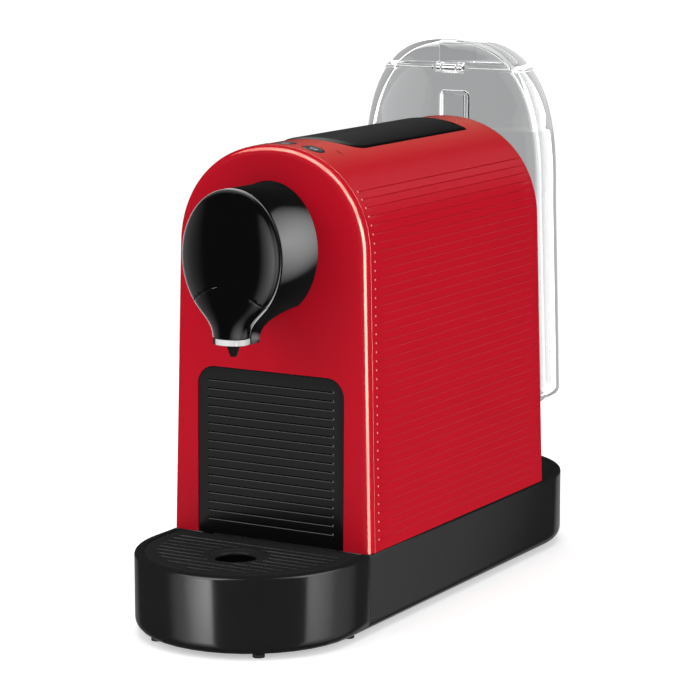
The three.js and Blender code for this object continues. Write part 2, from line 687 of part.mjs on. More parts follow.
function tankBlock(inset, low, high) {
  const rings = TANK_LEVELS.filter((z) => z > low && z < high);
  const at = (z) => {
    const tuck = filletInset(TANK_BOTTOM_FILLET, z - low);
    return tankRing(z, tankHalfWidth(Math.min(z + inset, TANK_TOP - 0.05)) - inset - tuck);
  };
  const block = loftZ([low, ...rings, high].map(at));
  return cut(block, backSlab(-60, TANK_CLEARANCE + inset));
}

function tankHingeRods(radius, spans) {
  return spans.map(([x0, x1]) => rodX(TANK_AXLE.y, TANK_AXLE.z, x0, x1, radius, 14));
}

const EAR_SPANS = [[-9, -5.2], [5.2, 9]];

function makeTank() {
  const outer = tankBlock(0, TANK_BOTTOM, TANK_TOP - 0.05);
  const below = box(-80, 80, 60, 200, 60, TANK_SEAM);
  const inner = tankBlock(WALL, TANK_BOTTOM + WALL, TANK_TOP - 4);
  const collar = rodZ(0, VALVE_Y, 84.4, TANK_BOTTOM + 1, 9);
  const bore = rodZ(0, VALVE_Y, 80, 100, 5);
  const knuckleWay = tankHingeRods(3.4, [[-5, 5]]);
  const pinBore = tankHingeRods(1.5, [[-12, 12]]);
  const ears = tankHingeRods(3, EAR_SPANS);
  const shell = cut(join(cut(outer.intersect(below), inner), collar), bore, ...knuckleWay);
  addPiece('water_tank', cut(join(shell, ...ears), ...pinBore), 'clear');

  const above = box(-80, 80, 60, 200, TANK_SEAM + GAP, 320);
  const earWay = tankHingeRods(3.4, EAR_SPANS.map(([a, b]) => [a - 0.2, b + 0.2]));
  const knuckle = tankHingeRods(3, [[-4.7, 4.7]]);
  const lid = cut(outer.intersect(above), inner.intersect(box(-80, 80, 60, 200, 60, TANK_TOP - WALL - 1)));
  addPiece('tank_lid', cut(join(cut(lid, ...earWay), ...knuckle), ...pinBore), 'clear');
  addPiece('tank_lid_pin', tankHingeRods(1.2, [[-8.8, 8.8]])[0], 'steel');
}

function makeTankValve() {
  const stem = rodZ(0, VALVE_Y, 86, 94, 2, 12);
  const disc = rodZ(0, VALVE_Y, TANK_BOTTOM + WALL + 3.2, TANK_BOTTOM + WALL + 5.4, 8);
  const neck = rodZ(0, VALVE_Y, 93, 96, 2, 12);
  addPiece('tank_valve', join(stem, neck, disc), 'silicone');
}

function makeTankSeat() {
  const plan = [[-30, 80], [30, 80], ...arcPoints(0, 119, 30, 0, 180, 14)];
  const shelf = cut(prismZ(plan, 60, SEAT_TOP), backSlab(-60, GAP));
  const tongue = box(-20, 20, 98, 112, 62, 86);
  const socket = rodZ(0, VALVE_Y, 80.5, 100, 9.5);
  const drain = rodZ(0, VALVE_Y, 70, 90, 3.4, 12);
  const channel = rodY(0, 74, 90, VALVE_Y, 3.4, 12);
  addPiece('tank_seat', cut(join(shelf, tongue), socket, drain, channel), 'satin');
  const sealHole = rodZ(0, VALVE_Y, 70, 90, 4.5, 14);
  addPiece('tank_seat_seal', cut(rodZ(0, VALVE_Y, 80.8, 83.8, 9.2), sealHole), 'rubber');
}

// ---- screws under the base ----------------------------------------------------------
function makeBaseScrews() {
  const spots = {
    rear_left: [-45, 110], rear_right: [45, 110], side_left: [-52, -40], side_right: [52, -40],
  };
  Object.entries(spots).forEach(([name, [x, y]]) => {
    const screw = join(rodZ(x, y, 5.6, 7.4, 3.4, 10), rodZ(x, y, 7, 16, 1.6, 8));
    addPiece(`base_screw_${name}`, screw, 'steel');
  });
}

makeBottomPlate();
makeFeet();
makeBaseShell();
makeCordGland();
makeBodyShell();
makeFrontPanel();
makeRearCover();
makeStatusLight();
makeHeadHousing();
makeHeadFront();
makeSpout();
makeCoffeeChannel();
makeDripTray();
makeDripGrid();
makeContainer();
makeNichePanel();
makeLeverLid();
makeLeverPin();
makeLeverBracket();
makeInternalFrame();
makeBrewChamber();
makePiston();
makeCapsuleGuide();
makeThermoblock();
makePump();
makeFlowMeter();
makeHoses();
makeControlBoard();
makeButtons();
makeTank();
makeTankValve();
makeTankSeat();
makeBaseScrews();

export default machine;
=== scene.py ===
"""Looks for the slim capsule espresso machine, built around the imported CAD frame."""
import json
import math

import bmesh
import bpy
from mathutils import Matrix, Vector


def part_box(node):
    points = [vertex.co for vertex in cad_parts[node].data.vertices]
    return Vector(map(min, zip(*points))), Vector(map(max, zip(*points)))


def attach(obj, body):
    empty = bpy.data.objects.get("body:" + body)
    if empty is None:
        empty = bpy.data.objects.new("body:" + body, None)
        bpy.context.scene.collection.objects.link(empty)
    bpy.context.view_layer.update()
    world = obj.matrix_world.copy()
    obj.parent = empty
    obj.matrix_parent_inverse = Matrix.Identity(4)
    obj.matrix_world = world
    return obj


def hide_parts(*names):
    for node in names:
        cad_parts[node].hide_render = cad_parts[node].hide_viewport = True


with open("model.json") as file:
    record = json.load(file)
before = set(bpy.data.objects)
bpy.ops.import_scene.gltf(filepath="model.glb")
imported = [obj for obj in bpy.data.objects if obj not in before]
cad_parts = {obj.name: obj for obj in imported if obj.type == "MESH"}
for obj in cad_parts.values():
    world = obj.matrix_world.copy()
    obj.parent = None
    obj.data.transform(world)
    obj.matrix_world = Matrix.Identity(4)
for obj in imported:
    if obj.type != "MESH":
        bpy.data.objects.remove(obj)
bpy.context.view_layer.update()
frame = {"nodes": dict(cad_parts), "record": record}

MM = 0.001
scene = bpy.context.scene

# ---- sizes in millimetres and degrees, from the frame where it gives them


def box_mm(node):
    low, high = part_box(node)
    return [c / MM for c in low], [c / MM for c in high]


BASE_LOW, _ = box_mm("base_bottom_plate")
SHELL_LOW, SHELL_HIGH = box_mm("base_shell")
TRAY_LOW, TRAY_HIGH = box_mm("drip_tray")
BODY_LOW, BODY_HIGH = box_mm("body_shell")
PANEL_LOW, _ = box_mm("front_panel")
_, LID_HIGH = box_mm("lever_lid")
CAP_LOW, CAP_HIGH = box_mm("head_front_cap")
BAND_LOW, BAND_HIGH = box_mm("head_trim_band")
GRID_LOW, GRID_HIGH = box_mm("drip_grid")
TANK_LOW, _ = box_mm("water_tank")
TANK_LID_LOW, TANK_LID_HIGH = box_mm("tank_lid")

WALL = 2.5
HALF_WIDTH = SHELL_HIGH[0]
BASE_END = SHELL_HIGH[1]
BASE_CENTRE = BASE_END - HALF_WIDTH
BASE_TOP = SHELL_HIGH[2]
BODY_FOOT = BODY_LOW[2]
FRONT_LEAN = 0.011
BACK_LEAN = 0.017
ARCH_A = 58.65
ARCH_B = 57.3
ARCH_Z = BODY_HIGH[2] - ARCH_B
ARCH_POWER = 2.12
PANEL_DEPTH = 5.0
FRONT_ROUND = 5.0
REAR_ROUND = 3.0

SLIT_COUNT = 40
SLIT_PITCH = 4.79
FIRST_SLIT = 6.45
SLIT_HALF = 0.38
SLIT_FLOOR = 0.2
SLIT_DEPTH = 0.42
SLIT_START = 10.6
SLIT_END = 7.0
SLIT_RUN_IN = 2.0
SLIT_RUN_OUT = 2.5
DOT_PLACE = 9.5
DOT_RADIUS = 0.5
# rise over the shell and share of the radius
DOT_PROFILE = ((-0.5, 1.0), (0.02, 1.0), (0.08, 0.8), (0.12, 0.4))

NICHE_HALF = 45.9
NICHE_TOP = 136.8
NICHE_CORNER = 10.5
NICHE_DEPTH = 0.5
GROOVE_COUNT = 17
GROOVE_PITCH = 4.8
FIRST_GROOVE = 52.6
GROOVE_HALF = 39.7

LID_FRONT = -40
LID_CURVE = 16
LEVER_AXIS = (74.6, 255.6)

HEAD_Z = 203.0
HEAD_A = 29.2
HEAD_B = 36.0
HEAD_LEAVE = -48.6
NECK_HALF = 9.8
NECK_BEND = 167.5
NECK_FOOT = 161.0
NECK_END = -92.0
RIM_Y = -137.0
FACE_Y = CAP_LOW[1]
SEAM_Y = CAP_HIGH[1]
SPOUT_Y = -134.0
SPOUT_BORE = 4.1

# half the width of a block that takes in the whole machine
WIDE = 70
BASE_FOOT_ROUND = 6.7
BASE_TOP_ROUND = 1.8
DECK_GROOVE = (4.6, 5.4)
GLAND = (0, 22, 6.3)
TRAY_BACK = -99.3
HOLE_Y = -133.5
HOLE_RADIUS = 11.3
FIRST_GRID_SLOT = -111.8
GRID_SLOT_PITCH = 6.2
GRID_SLOT_HALF = 1.3
GRID_SLOT_REACH = 51

TANK_AXIS = 114.1
TANK_A = 59.0
TANK_Z = 209.0
TANK_B = 93.3
TANK_POWER = 2.75
TANK_DRAFT = 0.029
TANK_FLOOR = 90.0
TANK_FRONT_ROUND = 2.0
TANK_RIM = 0.6
TANK_SEAM = TANK_LID_LOW[2] + 3.2
TANK_AXLE = (105.2, 285.65)
TANK_EARS = ((-9, -5.2), (5.2, 9))
VALVE_Y = 128.0

BUTTON_RADIUS = 5.75
BUTTON_Y = -81.0
BUTTON_PROFILE = ((-5.0, 0.0), (-0.5, 0.0), (-0.12, 0.15), (0.05, 0.5), (0.0, 1.2), (-0.25, 3.0))
FLOOR_RADIUS = 750


def front_y(z):
    return PANEL_LOW[1] + FRONT_LEAN * (z - BASE_TOP)


def back_y(z):
    return BODY_HIGH[1] - BACK_LEAN * (z - BASE_TOP)


# ---- camera and light, in metres

CAMERA_PLACE = (0.77168, -1.34940, 0.41088)
CAMERA_DOWN = 10.116
CAMERA_TURN = 29.991
CAMERA_LENS = 143.98
# from low on the right front edge towards the camera
CAMERA_SIDE = (0.487, -0.844, 0.225)
REFLECTOR_DISTANCE = 1.4
SOFT_DISTANCE = 1.6
CENTRE = (0, -0.05, 0.15)
LOW_CENTRE = (0, -0.117, 0.02)
WORLD_SEEN = 1.05
WORLD_LIGHT = 0.45
WORLD_GLOSS = 0.025
WORLD_CLEAR = 0.41


def make_camera():
    data = bpy.data.cameras.new("camera")
    data.sensor_width = 36.0
    data.lens = CAMERA_LENS
    data.clip_end = 50.0
    camera = bpy.data.objects.new("camera", data)
    camera.location = CAMERA_PLACE
    camera.rotation_euler = (math.radians(90 - CAMERA_DOWN), 0, math.radians(CAMERA_TURN))
    scene.collection.objects.link(camera)
    scene.camera = camera


GLOSS_GROUPS = {name: bpy.data.collections.new(f"gloss_{name}")
                for name in ("red", "face", "housing", "trim", "base", "niche", "lid", "clear", "nothing")}


def around(azimuth, elevation, distance, centre=CENTRE):
    """A place seen from the machine at an azimuth from the front, positive to its right."""
    a, e = math.radians(azimuth), math.radians(elevation)
    offset = Vector((math.sin(a) * math.cos(e), -math.cos(a) * math.cos(e), math.sin(e)))
    return tuple(Vector(centre) + offset * distance)


def area_light(name, place, aim, size, power, tint=(1, 1, 1)):
    data = bpy.data.lights.new(name, "AREA")
    data.shape = "RECTANGLE"
    data.size, data.size_y = size
    data.energy = power
    data.color = tint
    light = bpy.data.objects.new(name, data)
    light.location = place
    light.rotation_euler = (Vector(aim) - Vector(place)).to_track_quat("-Z", "Y").to_euler()
    light.visible_camera = False
    light.visible_transmission = False
    scene.collection.objects.link(light)
    return light


def gloss_light(name, group, peak, reach, spans, radiance, tint=(1, 1, 1), blockers=None, centre=CENTRE):
    """A reflector that shows only in the gloss of one group of pieces. It is brightest in the peak
    direction (azimuth, elevation) and fades to nothing at reach degrees from it; spans are the degrees
    that it extends to the left, right, below and above the peak."""
    towards = Vector(around(*peak, 1.0, (0, 0, 0)))
    side = Vector((0, 0, 1)).cross(towards).normalized()
    up = towards.cross(side)
    left, right, below, above = (REFLECTOR_DISTANCE * math.tan(math.radians(angle)) for angle in spans)
    middle = side * (right - left) / 2 + up * (above - below) / 2
    place = Vector(centre) + towards * REFLECTOR_DISTANCE + middle
    slope = math.tan(math.radians(reach))
    focus = (slope - math.radians(reach)) / slope
    power = radiance * math.pi * (left + right) * (below + above) * focus
    light = area_light(name, place, place - towards, (left + right, below + above), power, tint)
    light.data.spread = 2 * math.radians(reach)
    light.visible_diffuse = False
    light.light_linking.receiver_collection = GLOSS_GROUPS[group]
    light.light_linking.blocker_collection = GLOSS_GROUPS[blockers or group]


def make_world():
    """White behind the machine, dim in reflections, grey as light and through clear plastic."""
    world = bpy.data.worlds.new("studio")
    world.use_nodes = True
    tree = world.node_tree
    tree.nodes.clear()
    path = tree.nodes.new("ShaderNodeLightPath")

    def sky(strength):
        node = tree.nodes.new("ShaderNodeBackground")
        node.inputs["Color"].default_value = (1, 1, 1, 1)
        node.inputs["Strength"].default_value = strength
        return node.outputs[0]

    def choose(test, otherwise, chosen):
        node = tree.nodes.new("ShaderNodeMixShader")
        tree.links.new(path.outputs[test], node.inputs["Fac"])
        tree.links.new(otherwise, node.inputs[1])
        tree.links.new(chosen, node.inputs[2])
        return node.outputs[0]

    lit = choose("Is Glossy Ray", sky(WORLD_LIGHT), sky(WORLD_GLOSS))
    clear = choose("Is Transmission Ray", lit, sky(WORLD_CLEAR))
    out = tree.nodes.new("ShaderNodeOutputWorld")
    tree.links.new(choose("Is Camera Ray", clear, sky(WORLD_SEEN)), out.inputs["Surface"])
    scene.world = world


def soft_light(name, azimuth, elevation, size, power):
    """A light that gives shape but no reflection."""
    light = area_light(name, around(azimuth, elevation, SOFT_DISTANCE), CENTRE, (size, size), power)
    light.visible_glossy = False


def edge_lights():
    """Reflectors along the arch, where the middle of the front rounding mirrors the camera's side."""
    seen = Vector(CAMERA_SIDE)
    steps = 6
    for i in range(steps + 1):
        turn = math.pi / 2 * i / steps
        normal = Vector((math.cos(turn), -1.0, math.sin(turn))).normalized()
        way = 2 * normal.dot(seen) * normal - seen
        peak = (math.degrees(math.atan2(way.x, -way.y)), math.degrees(math.asin(way.z)))
        height = 17 if i else 30
        spans = (15, 15, height, height)
        gloss_light(f"edge_{i}", "red", peak, 60, spans, 17 - 1.4 * i, (1, 0.80, 0.62))


def gloss_lights(group, rows, **settings):
    for name, *values in rows:
        gloss_light(name, group, *values, **settings)


def make_lights():
    soft_light("overhead", 0, 88, 1.3, 15)
    soft_light("front_left", -35, 25, 0.9, 7.6)
    soft_light("front_right", 22, 6, 0.9, 2.6)
    soft_light("right", 80, 18, 0.9, 9.2)
    soft_light("rear_left", -140, 30, 0.9, 6)
    edge_lights()
    gloss_lights("red", (
        ("crown", (-165, 32), 36, (50, 50, 50, 50), 0.14, (1, 0.45, 0.25)),
        ("crown_rear", (-156, 21), 24, (40, 40, 40, 40), 0.4, (1, 0.6, 0.4)),
        ("slit_sheen", (160, 26), 18, (30, 30, 26, 30), 0.25),
    ))
    gloss_light("housing", "housing", (149, 5), 31, (50, 50, 50, 26), 3.6)
    gloss_lights("face", (
        ("face_right", (48, -8), 50, (62, 40, 50, 50), 2.8),
        ("face_soft", (-78, -8), 32, (44, 44, 44, 44), 0.8),
        ("face_side", (112, -8), 44, (30, 40, 44, 44), 2.0),
        ("face_left", (-152, -4), 66, (30, 62, 44, 44), 1.6),
        ("face_over", (-120, 60), 50, (40, 40, 30, 28), 1.3),
    ))
    gloss_lights("trim", (
        ("trim_front", (-20, -10), 80, (60, 60, 40, 40), 1.0),
        ("trim_side", (92, -10), 80, (55, 55, 40, 40), 0.9),
    ))
    gloss_lights("base", (
        ("base_left", (-10, -10), 46, (56, 4, 40, 40), 2.2),
        ("base_left_core", (-10, -10), 26, (36, 4, 30, 30), 4.6),
        ("base_right", (92, -10), 60, (6, 66, 40, 40), 0.9),
        ("base_right_core", (92, -10), 30, (6, 40, 30, 30), 2.2),
        ("base_far_left", (-160, -12), 50, (30, 45, 45, 4), 0.4),
        ("base_rim_left", (-12, 38), 40, (39, 14, 30, 39), 5.0),
        ("base_rim_right", (96, 38), 40, (14, 39, 30, 39), 4.0),
    ), centre=LOW_CENTRE)
    gloss_light("niche", "niche", (-30, -14), 60, (40, 40, 14, 30), 0.47, blockers="base")
    gloss_light("niche_lip", "niche", (-65, 57), 60, (30, 30, 25, 25), 3.0)
    gloss_light("lid_lip", "lid", (-115, 58), 50, (35, 35, 25, 25), 3.0)
    gloss_lights("clear", (
        ("clear_right", (118, 0), 75, (45, 40, 55, 55), 2.4),
        ("clear_left", (-120, 0), 75, (40, 45, 55, 55), 2.0),
        ("clear_over", (30, 70), 75, (45, 45, 35, 35), 3.0),
        ("clear_left_edge", (-118, -8), 60, (22, 22, 50, 50), 0.5),
        ("clear_right_edge", (178, -8), 60, (22, 22, 50, 50), 0.5),
        ("clear_crown", (-150, 27), 60, (55, 55, 22, 22), 0.5),
    ), blockers="nothing")


# ---- materials


class Finish:
    """One Principled material with the node chains that vary it."""

    def __init__(self, name, **values):
        self.name = name
        self.material = bpy.data.materials.new(name)
        self.material.use_nodes = True
        self.tree = self.material.node_tree
        self.shader = self.tree.nodes["Principled BSDF"]
        for key, value in values.items():
            self.shader.inputs[key.replace("_", " ")].default_value = value
        self.place = self.tree.nodes.new("ShaderNodeTexCoord").outputs["Object"]

    def noise(self, scale, detail=3.0, stretch=None):
        place = self.place
        if stretch:
            mapping = self.tree.nodes.new("ShaderNodeMapping")
            mapping.inputs["Scale"].default_value = stretch
            self.tree.links.new(place, mapping.inputs["Vector"])
            place = mapping.outputs["Vector"]
        node = self.tree.nodes.new("ShaderNodeTexNoise")
        node.inputs["Scale"].default_value = scale
        node.inputs["Detail"].default_value = detail
        self.tree.links.new(place, node.inputs["Vector"])
        return node.outputs["Fac"]

    def ramp(self, source, low, high):
        node = self.tree.nodes.new("ShaderNodeMapRange")
        node.inputs["To Min"].default_value = low
        node.inputs["To Max"].default_value = high
        self.tree.links.new(source, node.inputs["Value"])
        return node.outputs["Result"]

    def rough(self, scale, low, high, stretch=None):
        varied = self.ramp(self.noise(scale, 4.0, stretch), low, high)
        self.tree.links.new(varied, self.shader.inputs["Roughness"])
        return self

    def colour(self, scale, dark, light):
        node = self.tree.nodes.new("ShaderNodeMix")
        node.data_type = "RGBA"
        node.inputs["A"].default_value = (*dark, 1)
        node.inputs["B"].default_value = (*light, 1)
        self.tree.links.new(self.noise(scale), node.inputs["Factor"])
        self.tree.links.new(node.outputs["Result"], self.shader.inputs["Base Color"])
        return self

    def bump(self, scale, depth_mm, stretch=None, detail=3.0):
        node = self.tree.nodes.new("ShaderNodeBump")
        node.inputs["Strength"].default_value = 1.0
        node.inputs["Distance"].default_value = depth_mm * MM
        self.tree.links.new(self.noise(scale, detail, stretch), node.inputs["Height"])
        self.tree.links.new(node.outputs["Normal"], self.shader.inputs["Normal"])
        return self


def shades(colour, spread):
    return [c * (1 - spread) for c in colour], [min(1.0, c * (1 + spread)) for c in colour]


def make_finishes():
    """Material per record slot, and a few more for details that share a slot."""
    red = (0.475, 0.0045, 0.016)
    black = (0.002, 0.002, 0.0021)
    charcoal = (0.0105, 0.0105, 0.0112)
    finishes = (
        Finish("red_shell", IOR=1.5)
        .colour(14, *shades(red, 0.035)).rough(90, 0.13, 0.17).bump(1800, 0.0015),
        Finish("gloss_black", IOR=1.5)
        .colour(30, *shades(black, 0.1)).rough(60, 0.09, 0.13).bump(900, 0.0008),
        Finish("satin_black", IOR=1.48)
        .colour(40, *shades(charcoal, 0.12)).rough(150, 0.13, 0.17).bump(2600, 0.0012),
        Finish("matt_black", IOR=1.45)
        .colour(60, *shades(charcoal, 0.15)).rough(200, 0.42, 0.52).bump(3200, 0.010),
        Finish("chrome", Metallic=1.0)
        .colour(50, *shades((0.80, 0.80, 0.79), 0.03))
        .rough(120, 0.16, 0.22).bump(1500, 0.001),
        Finish("clear_plastic", Transmission_Weight=1.0, IOR=1.27)
        .colour(20, (0.955, 0.965, 0.97), (0.975, 0.98, 0.985)).rough(30, 0.015, 0.035)
        .bump(14, 0.02),
        Finish("rubber").colour(80, *shades((0.012, 0.012, 0.012), 0.2))
        .rough(200, 0.75, 0.9).bump(2500, 0.02),
        Finish("silicone", Subsurface_Weight=0.2)
        .colour(60, *shades((0.62, 0.59, 0.53), 0.05)).rough(120, 0.45, 0.6).bump(900, 0.01),
        Finish("steel", Metallic=1.0).colour(50, *shades((0.52, 0.52, 0.5), 0.06))
        .rough(400, 0.25, 0.42, (1, 12, 1)).bump(1400, 0.006, (1, 20, 1)),
        Finish("aluminium", Metallic=1.0).colour(60, *shades((0.56, 0.57, 0.58), 0.07))
        .rough(300, 0.4, 0.6).bump(1500, 0.03),
        Finish("circuit_board").colour(150, (0.010, 0.08, 0.035), (0.03, 0.14, 0.06))
        .rough(200, 0.3, 0.5).bump(700, 0.02),
        Finish("grey_plastic").colour(60, *shades((0.20, 0.21, 0.22), 0.08))
        .rough(200, 0.45, 0.6).bump(2500, 0.01),
        Finish("light_lens", Transmission_Weight=0.3)
        .colour(60, *shades((0.10, 0.10, 0.10), 0.05)).rough(200, 0.3, 0.4).bump(2000, 0.003),
        Finish("pale_print").colour(300, *shades((0.55, 0.55, 0.55), 0.05))
        .rough(300, 0.4, 0.5).bump(3000, 0.002),
        Finish("pale_dot", Coat_Weight=0.6)
        .colour(200, *shades((0.75, 0.45, 0.42), 0.05))
        .rough(300, 0.2, 0.3).bump(3000, 0.002),
        Finish("floor", Emission_Color=(1, 1, 1, 1), Emission_Strength=0.43)
        .colour(3, (0.86, 0.86, 0.86), (0.88, 0.88, 0.88))
        .rough(5, 0.45, 0.55).bump(400, 0.01),
        Finish("niche_black", IOR=1.5)
        .colour(50, (0.0012, 0.0012, 0.0013), (0.0018, 0.0018, 0.0019))
        .rough(180, 0.19, 0.24).bump(3000, 0.003),
        Finish("grid_black", IOR=1.48)
        .colour(50, (0.013, 0.013, 0.0135), (0.017, 0.017, 0.0175))
        .rough(180, 0.28, 0.36).bump(3000, 0.004),
        Finish("dim_dot").colour(300, (0.15, 0.15, 0.15), (0.19, 0.19, 0.19))
        .rough(300, 0.4, 0.5).bump(3000, 0.002),
        Finish("lid_black", IOR=1.33)
        .colour(60, (0.0034, 0.0034, 0.0036), (0.0044, 0.0044, 0.0047))
        .rough(220, 0.30, 0.38).bump(3000, 0.004),
        Finish("button_black", IOR=1.45)
        .colour(90, (0.02, 0.022, 0.024), (0.026, 0.028, 0.03))
        .rough(200, 0.3, 0.4).bump(2600, 0.006),
    )
    return {finish.name: finish.material for finish in finishes}


FINISH = make_finishes()

# ---- mesh helpers


def mesh_object(name, points, faces):
    mesh = bpy.data.meshes.new(name)
    mesh.from_pydata([(x * MM, y * MM, z * MM) for x, y, z in points], [], faces)
    mesh.update()
    piece = bpy.data.objects.new(name, mesh)
    scene.collection.objects.link(piece)
    tidy_mesh(piece)
    return piece


def tidy_mesh(piece, merge=0.00001):
    work = bmesh.new()
    work.from_mesh(piece.data)
    bmesh.ops.remove_doubles(work, verts=work.verts, dist=merge)
    bmesh.ops.dissolve_degenerate(work, edges=work.edges, dist=merge / 10)
    bmesh.ops.recalc_face_normals(work, faces=work.faces)
    if work.calc_volume(signed=True) < 0:
        bmesh.ops.reverse_faces(work, faces=work.faces)
    work.to_mesh(piece.data)
    work.free()
    piece.data.update()


def ring_faces(rings):
    """The faces between neighbouring rings of points."""
    count = len(rings[0])
    faces = []
    for level in range(len(rings) - 1):
        for i in range(count):
            a, b = level * count + i, level * count + (i + 1) % count
            faces.append((a, b, b + count, a + count))
    return faces


def loft(name, rings):
    """A closed solid through rings of points (each the same length); its end faces are flat."""
    count = len(rings[0])
    points = [p for ring in rings for p in ring]
    faces = ring_faces(rings)
    faces.append(tuple(reversed(range(count))))
    faces.append(tuple(range(len(points) - count, len(points))))
    return mesh_object(name, points, faces)


def prism_z(name, outline, z0, z1):
    return loft(name, [[(x, y, z) for x, y in outline] for z in (z0, z1)])


def prism_y(name, outline, y0, y1):
    return loft(name, [[(x, y, z) for x, z in outline] for y in (y0, y1)])


def prism_x(name, outline, x0, x1):
    return loft(name, [[(x, y, z) for y, z in outline] for x in (x0, x1)])


def block(name, low, high):
    (x0, y0, z0), (x1, y1, z1) = low, high
    return prism_z(name, [(x0, y0), (x1, y0), (x1, y1), (x0, y1)], z0, z1)


def circle(u, v, radius, segments=48):
    turn = [2 * math.pi * i / segments for i in range(segments)]
    return [(u + radius * math.cos(t), v + radius * math.sin(t)) for t in turn]


def arc(u, v, radius, start, end, segments):
    turn = [math.radians(start + (end - start) * i / segments) for i in range(segments + 1)]
    return [(u + radius * math.cos(t), v + radius * math.sin(t)) for t in turn]


def volume(mesh):
    work = bmesh.new()
    work.from_mesh(mesh)
    size = work.calc_volume(signed=True) if work.faces else 0.0
    work.free()
    return size


def combine(piece, *others, mode="DIFFERENCE"):
    """Cuts, joins or trims piece by the others, which are used up. The exact solver's result is
    taken when its volume is a possible one, and the fast solver's otherwise."""
    for other in others:
        first, second = volume(piece.data), volume(other.data)
        least, most = {
            "DIFFERENCE": (first - second, first),
            "UNION": (max(first, second), first + second),
            "INTERSECT": (0.0, min(first, second)),
        }[mode]
        modifier = piece.modifiers.new("combine", "BOOLEAN")
        modifier.operation = mode
        modifier.object = other
        slack = first * 1e-4
        for solver in ("EXACT", "FAST"):
            modifier.solver = solver
            bpy.context.view_layer.update()
            shaped = piece.evaluated_get(bpy.context.evaluated_depsgraph_get())
            mesh = bpy.data.meshes.new_from_object(shaped)
            if mesh.polygons and least - slack <= volume(mesh) <= most + slack:
                break
        else:
            raise RuntimeError(f"{piece.name}: {mode} gave no solid")
        piece.modifiers.clear()
        piece.data = mesh
        bpy.data.objects.remove(other)
    tidy_mesh(piece)
    return piece


def merge_meshes(name, pieces):
    """One object from several separate closed meshes."""
    work = bmesh.new()
    for piece in pieces:
        work.from_mesh(piece.data)
        bpy.data.objects.remove(piece)
    mesh = bpy.data.meshes.new(name)
    work.to_mesh(mesh)
    work.free()
    merged = bpy.data.objects.new(name, mesh)
    scene.collection.objects.link(merged)
    return merged


def soften(piece, width_mm, angle=35, segments=2):
    """Rounds the edges that are sharper than the angle."""
    modifier = piece.modifiers.new("soften", "BEVEL")
    modifier.width = width_mm * MM
    modifier.segments = segments
    modifier.limit_method = "ANGLE"
    modifier.angle_limit = math.radians(angle)
    shaped = piece.evaluated_get(bpy.context.evaluated_depsgraph_get())
    mesh = bpy.data.meshes.new_from_object(shaped)
    piece.modifiers.clear()
    piece.data = mesh
    return piece


def finish_piece(piece, name, finish, body="root", replaces=(), angle=32, gloss="base"):
    """Gives a shape its material, smooth faces, body, slot and group of reflectors."""
    piece.name = name
    mesh = piece.data
    mesh.materials.clear()
    mesh.materials.append(FINISH[finish])
    mesh.polygons.foreach_set("material_index", [0] * len(mesh.polygons))
    mesh.polygons.foreach_set("use_smooth", [True] * len(mesh.polygons))
    mesh.set_sharp_from_angle(angle=math.radians(angle))
    mesh.update()
    if gloss:
        GLOSS_GROUPS[gloss].objects.link(piece)
    piece.visible_glossy = False
    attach(piece, body)
    if replaces:
        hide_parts(*replaces)
    return piece


# ---- outlines


def half_arch(samples=600):
    """The right half of the body's section from foot to crown: (length, x, z, outward x, outward z)."""
    lean = (HALF_WIDTH - ARCH_A) / (ARCH_Z - BASE_TOP)
    foot = (HALF_WIDTH - lean * (BODY_FOOT - BASE_TOP), BODY_FOOT)
    places = [foot]
    for i in range(samples + 1):
        t = math.pi / 2 * i / samples
        x = ARCH_A * math.cos(t) ** (2 / ARCH_POWER) if i < samples else 0.0
        places.append((x, ARCH_Z + ARCH_B * math.sin(t) ** (2 / ARCH_POWER)))
    rows, length = [], 0.0
    for i, (x, z) in enumerate(places):
        if i:
            length += math.dist(places[i - 1], (x, z))
        before, after = places[max(i - 1, 0)], places[min(i + 1, len(places) - 1)]
        along = (after[0] - before[0], after[1] - before[1])
        size = math.hypot(*along)
        rows.append((length, x, z, along[1] / size, -along[0] / size))
    return rows


ARCH = half_arch()
ARCH_LENGTH = ARCH[-1][0]
ARCH_STRAIGHT = ARCH[1][0]


def arch_at(length):
    """The place and outward direction at a length along the half section."""
    if length >= ARCH_LENGTH:
        return 0.0, ARCH_Z + ARCH_B, 0.0, 1.0
    low, high = 0, len(ARCH) - 1
    while high - low > 1:
        middle = (low + high) // 2
        if ARCH[middle][0] <= length:
            low = middle
        else:
            high = middle
    a, b = ARCH[low], ARCH[high]
    t = (length - a[0]) / max(b[0] - a[0], 1e-9)
    x, z = a[1] + (b[1] - a[1]) * t, a[2] + (b[2] - a[2]) * t
    nx, nz = a[3] + (b[3] - a[3]) * t, a[4] + (b[4] - a[4]) * t
    size = math.hypot(nx, nz)
    return x, z, nx / size, nz / size


def mirrored(rows):
    """A right half section and its mirror image, from the right foot over to the left foot."""
    left = [(-x, z, -nx, nz) + tuple(rest) for x, z, nx, nz, *rest in reversed(rows)]
    return rows + (left[1:] if rows[-1][0] == 0 else left)


def plain_arch(step=3.2, low_steps=6):
    """The section without slits, as (x, z, nx, nz)."""
    lengths = [ARCH_STRAIGHT * i / low_steps for i in range(low_steps)]
    steps = max(1, round((ARCH_LENGTH - ARCH_STRAIGHT) / step))
    lengths += [ARCH_STRAIGHT + (ARCH_LENGTH - ARCH_STRAIGHT) * i / steps for i in range(steps + 1)]
    return mirrored([arch_at(s) for s in lengths])


def arch_height(x):
    return ARCH_Z + ARCH_B * (1 - (abs(x) / ARCH_A) ** ARCH_POWER) ** (1 / ARCH_POWER)


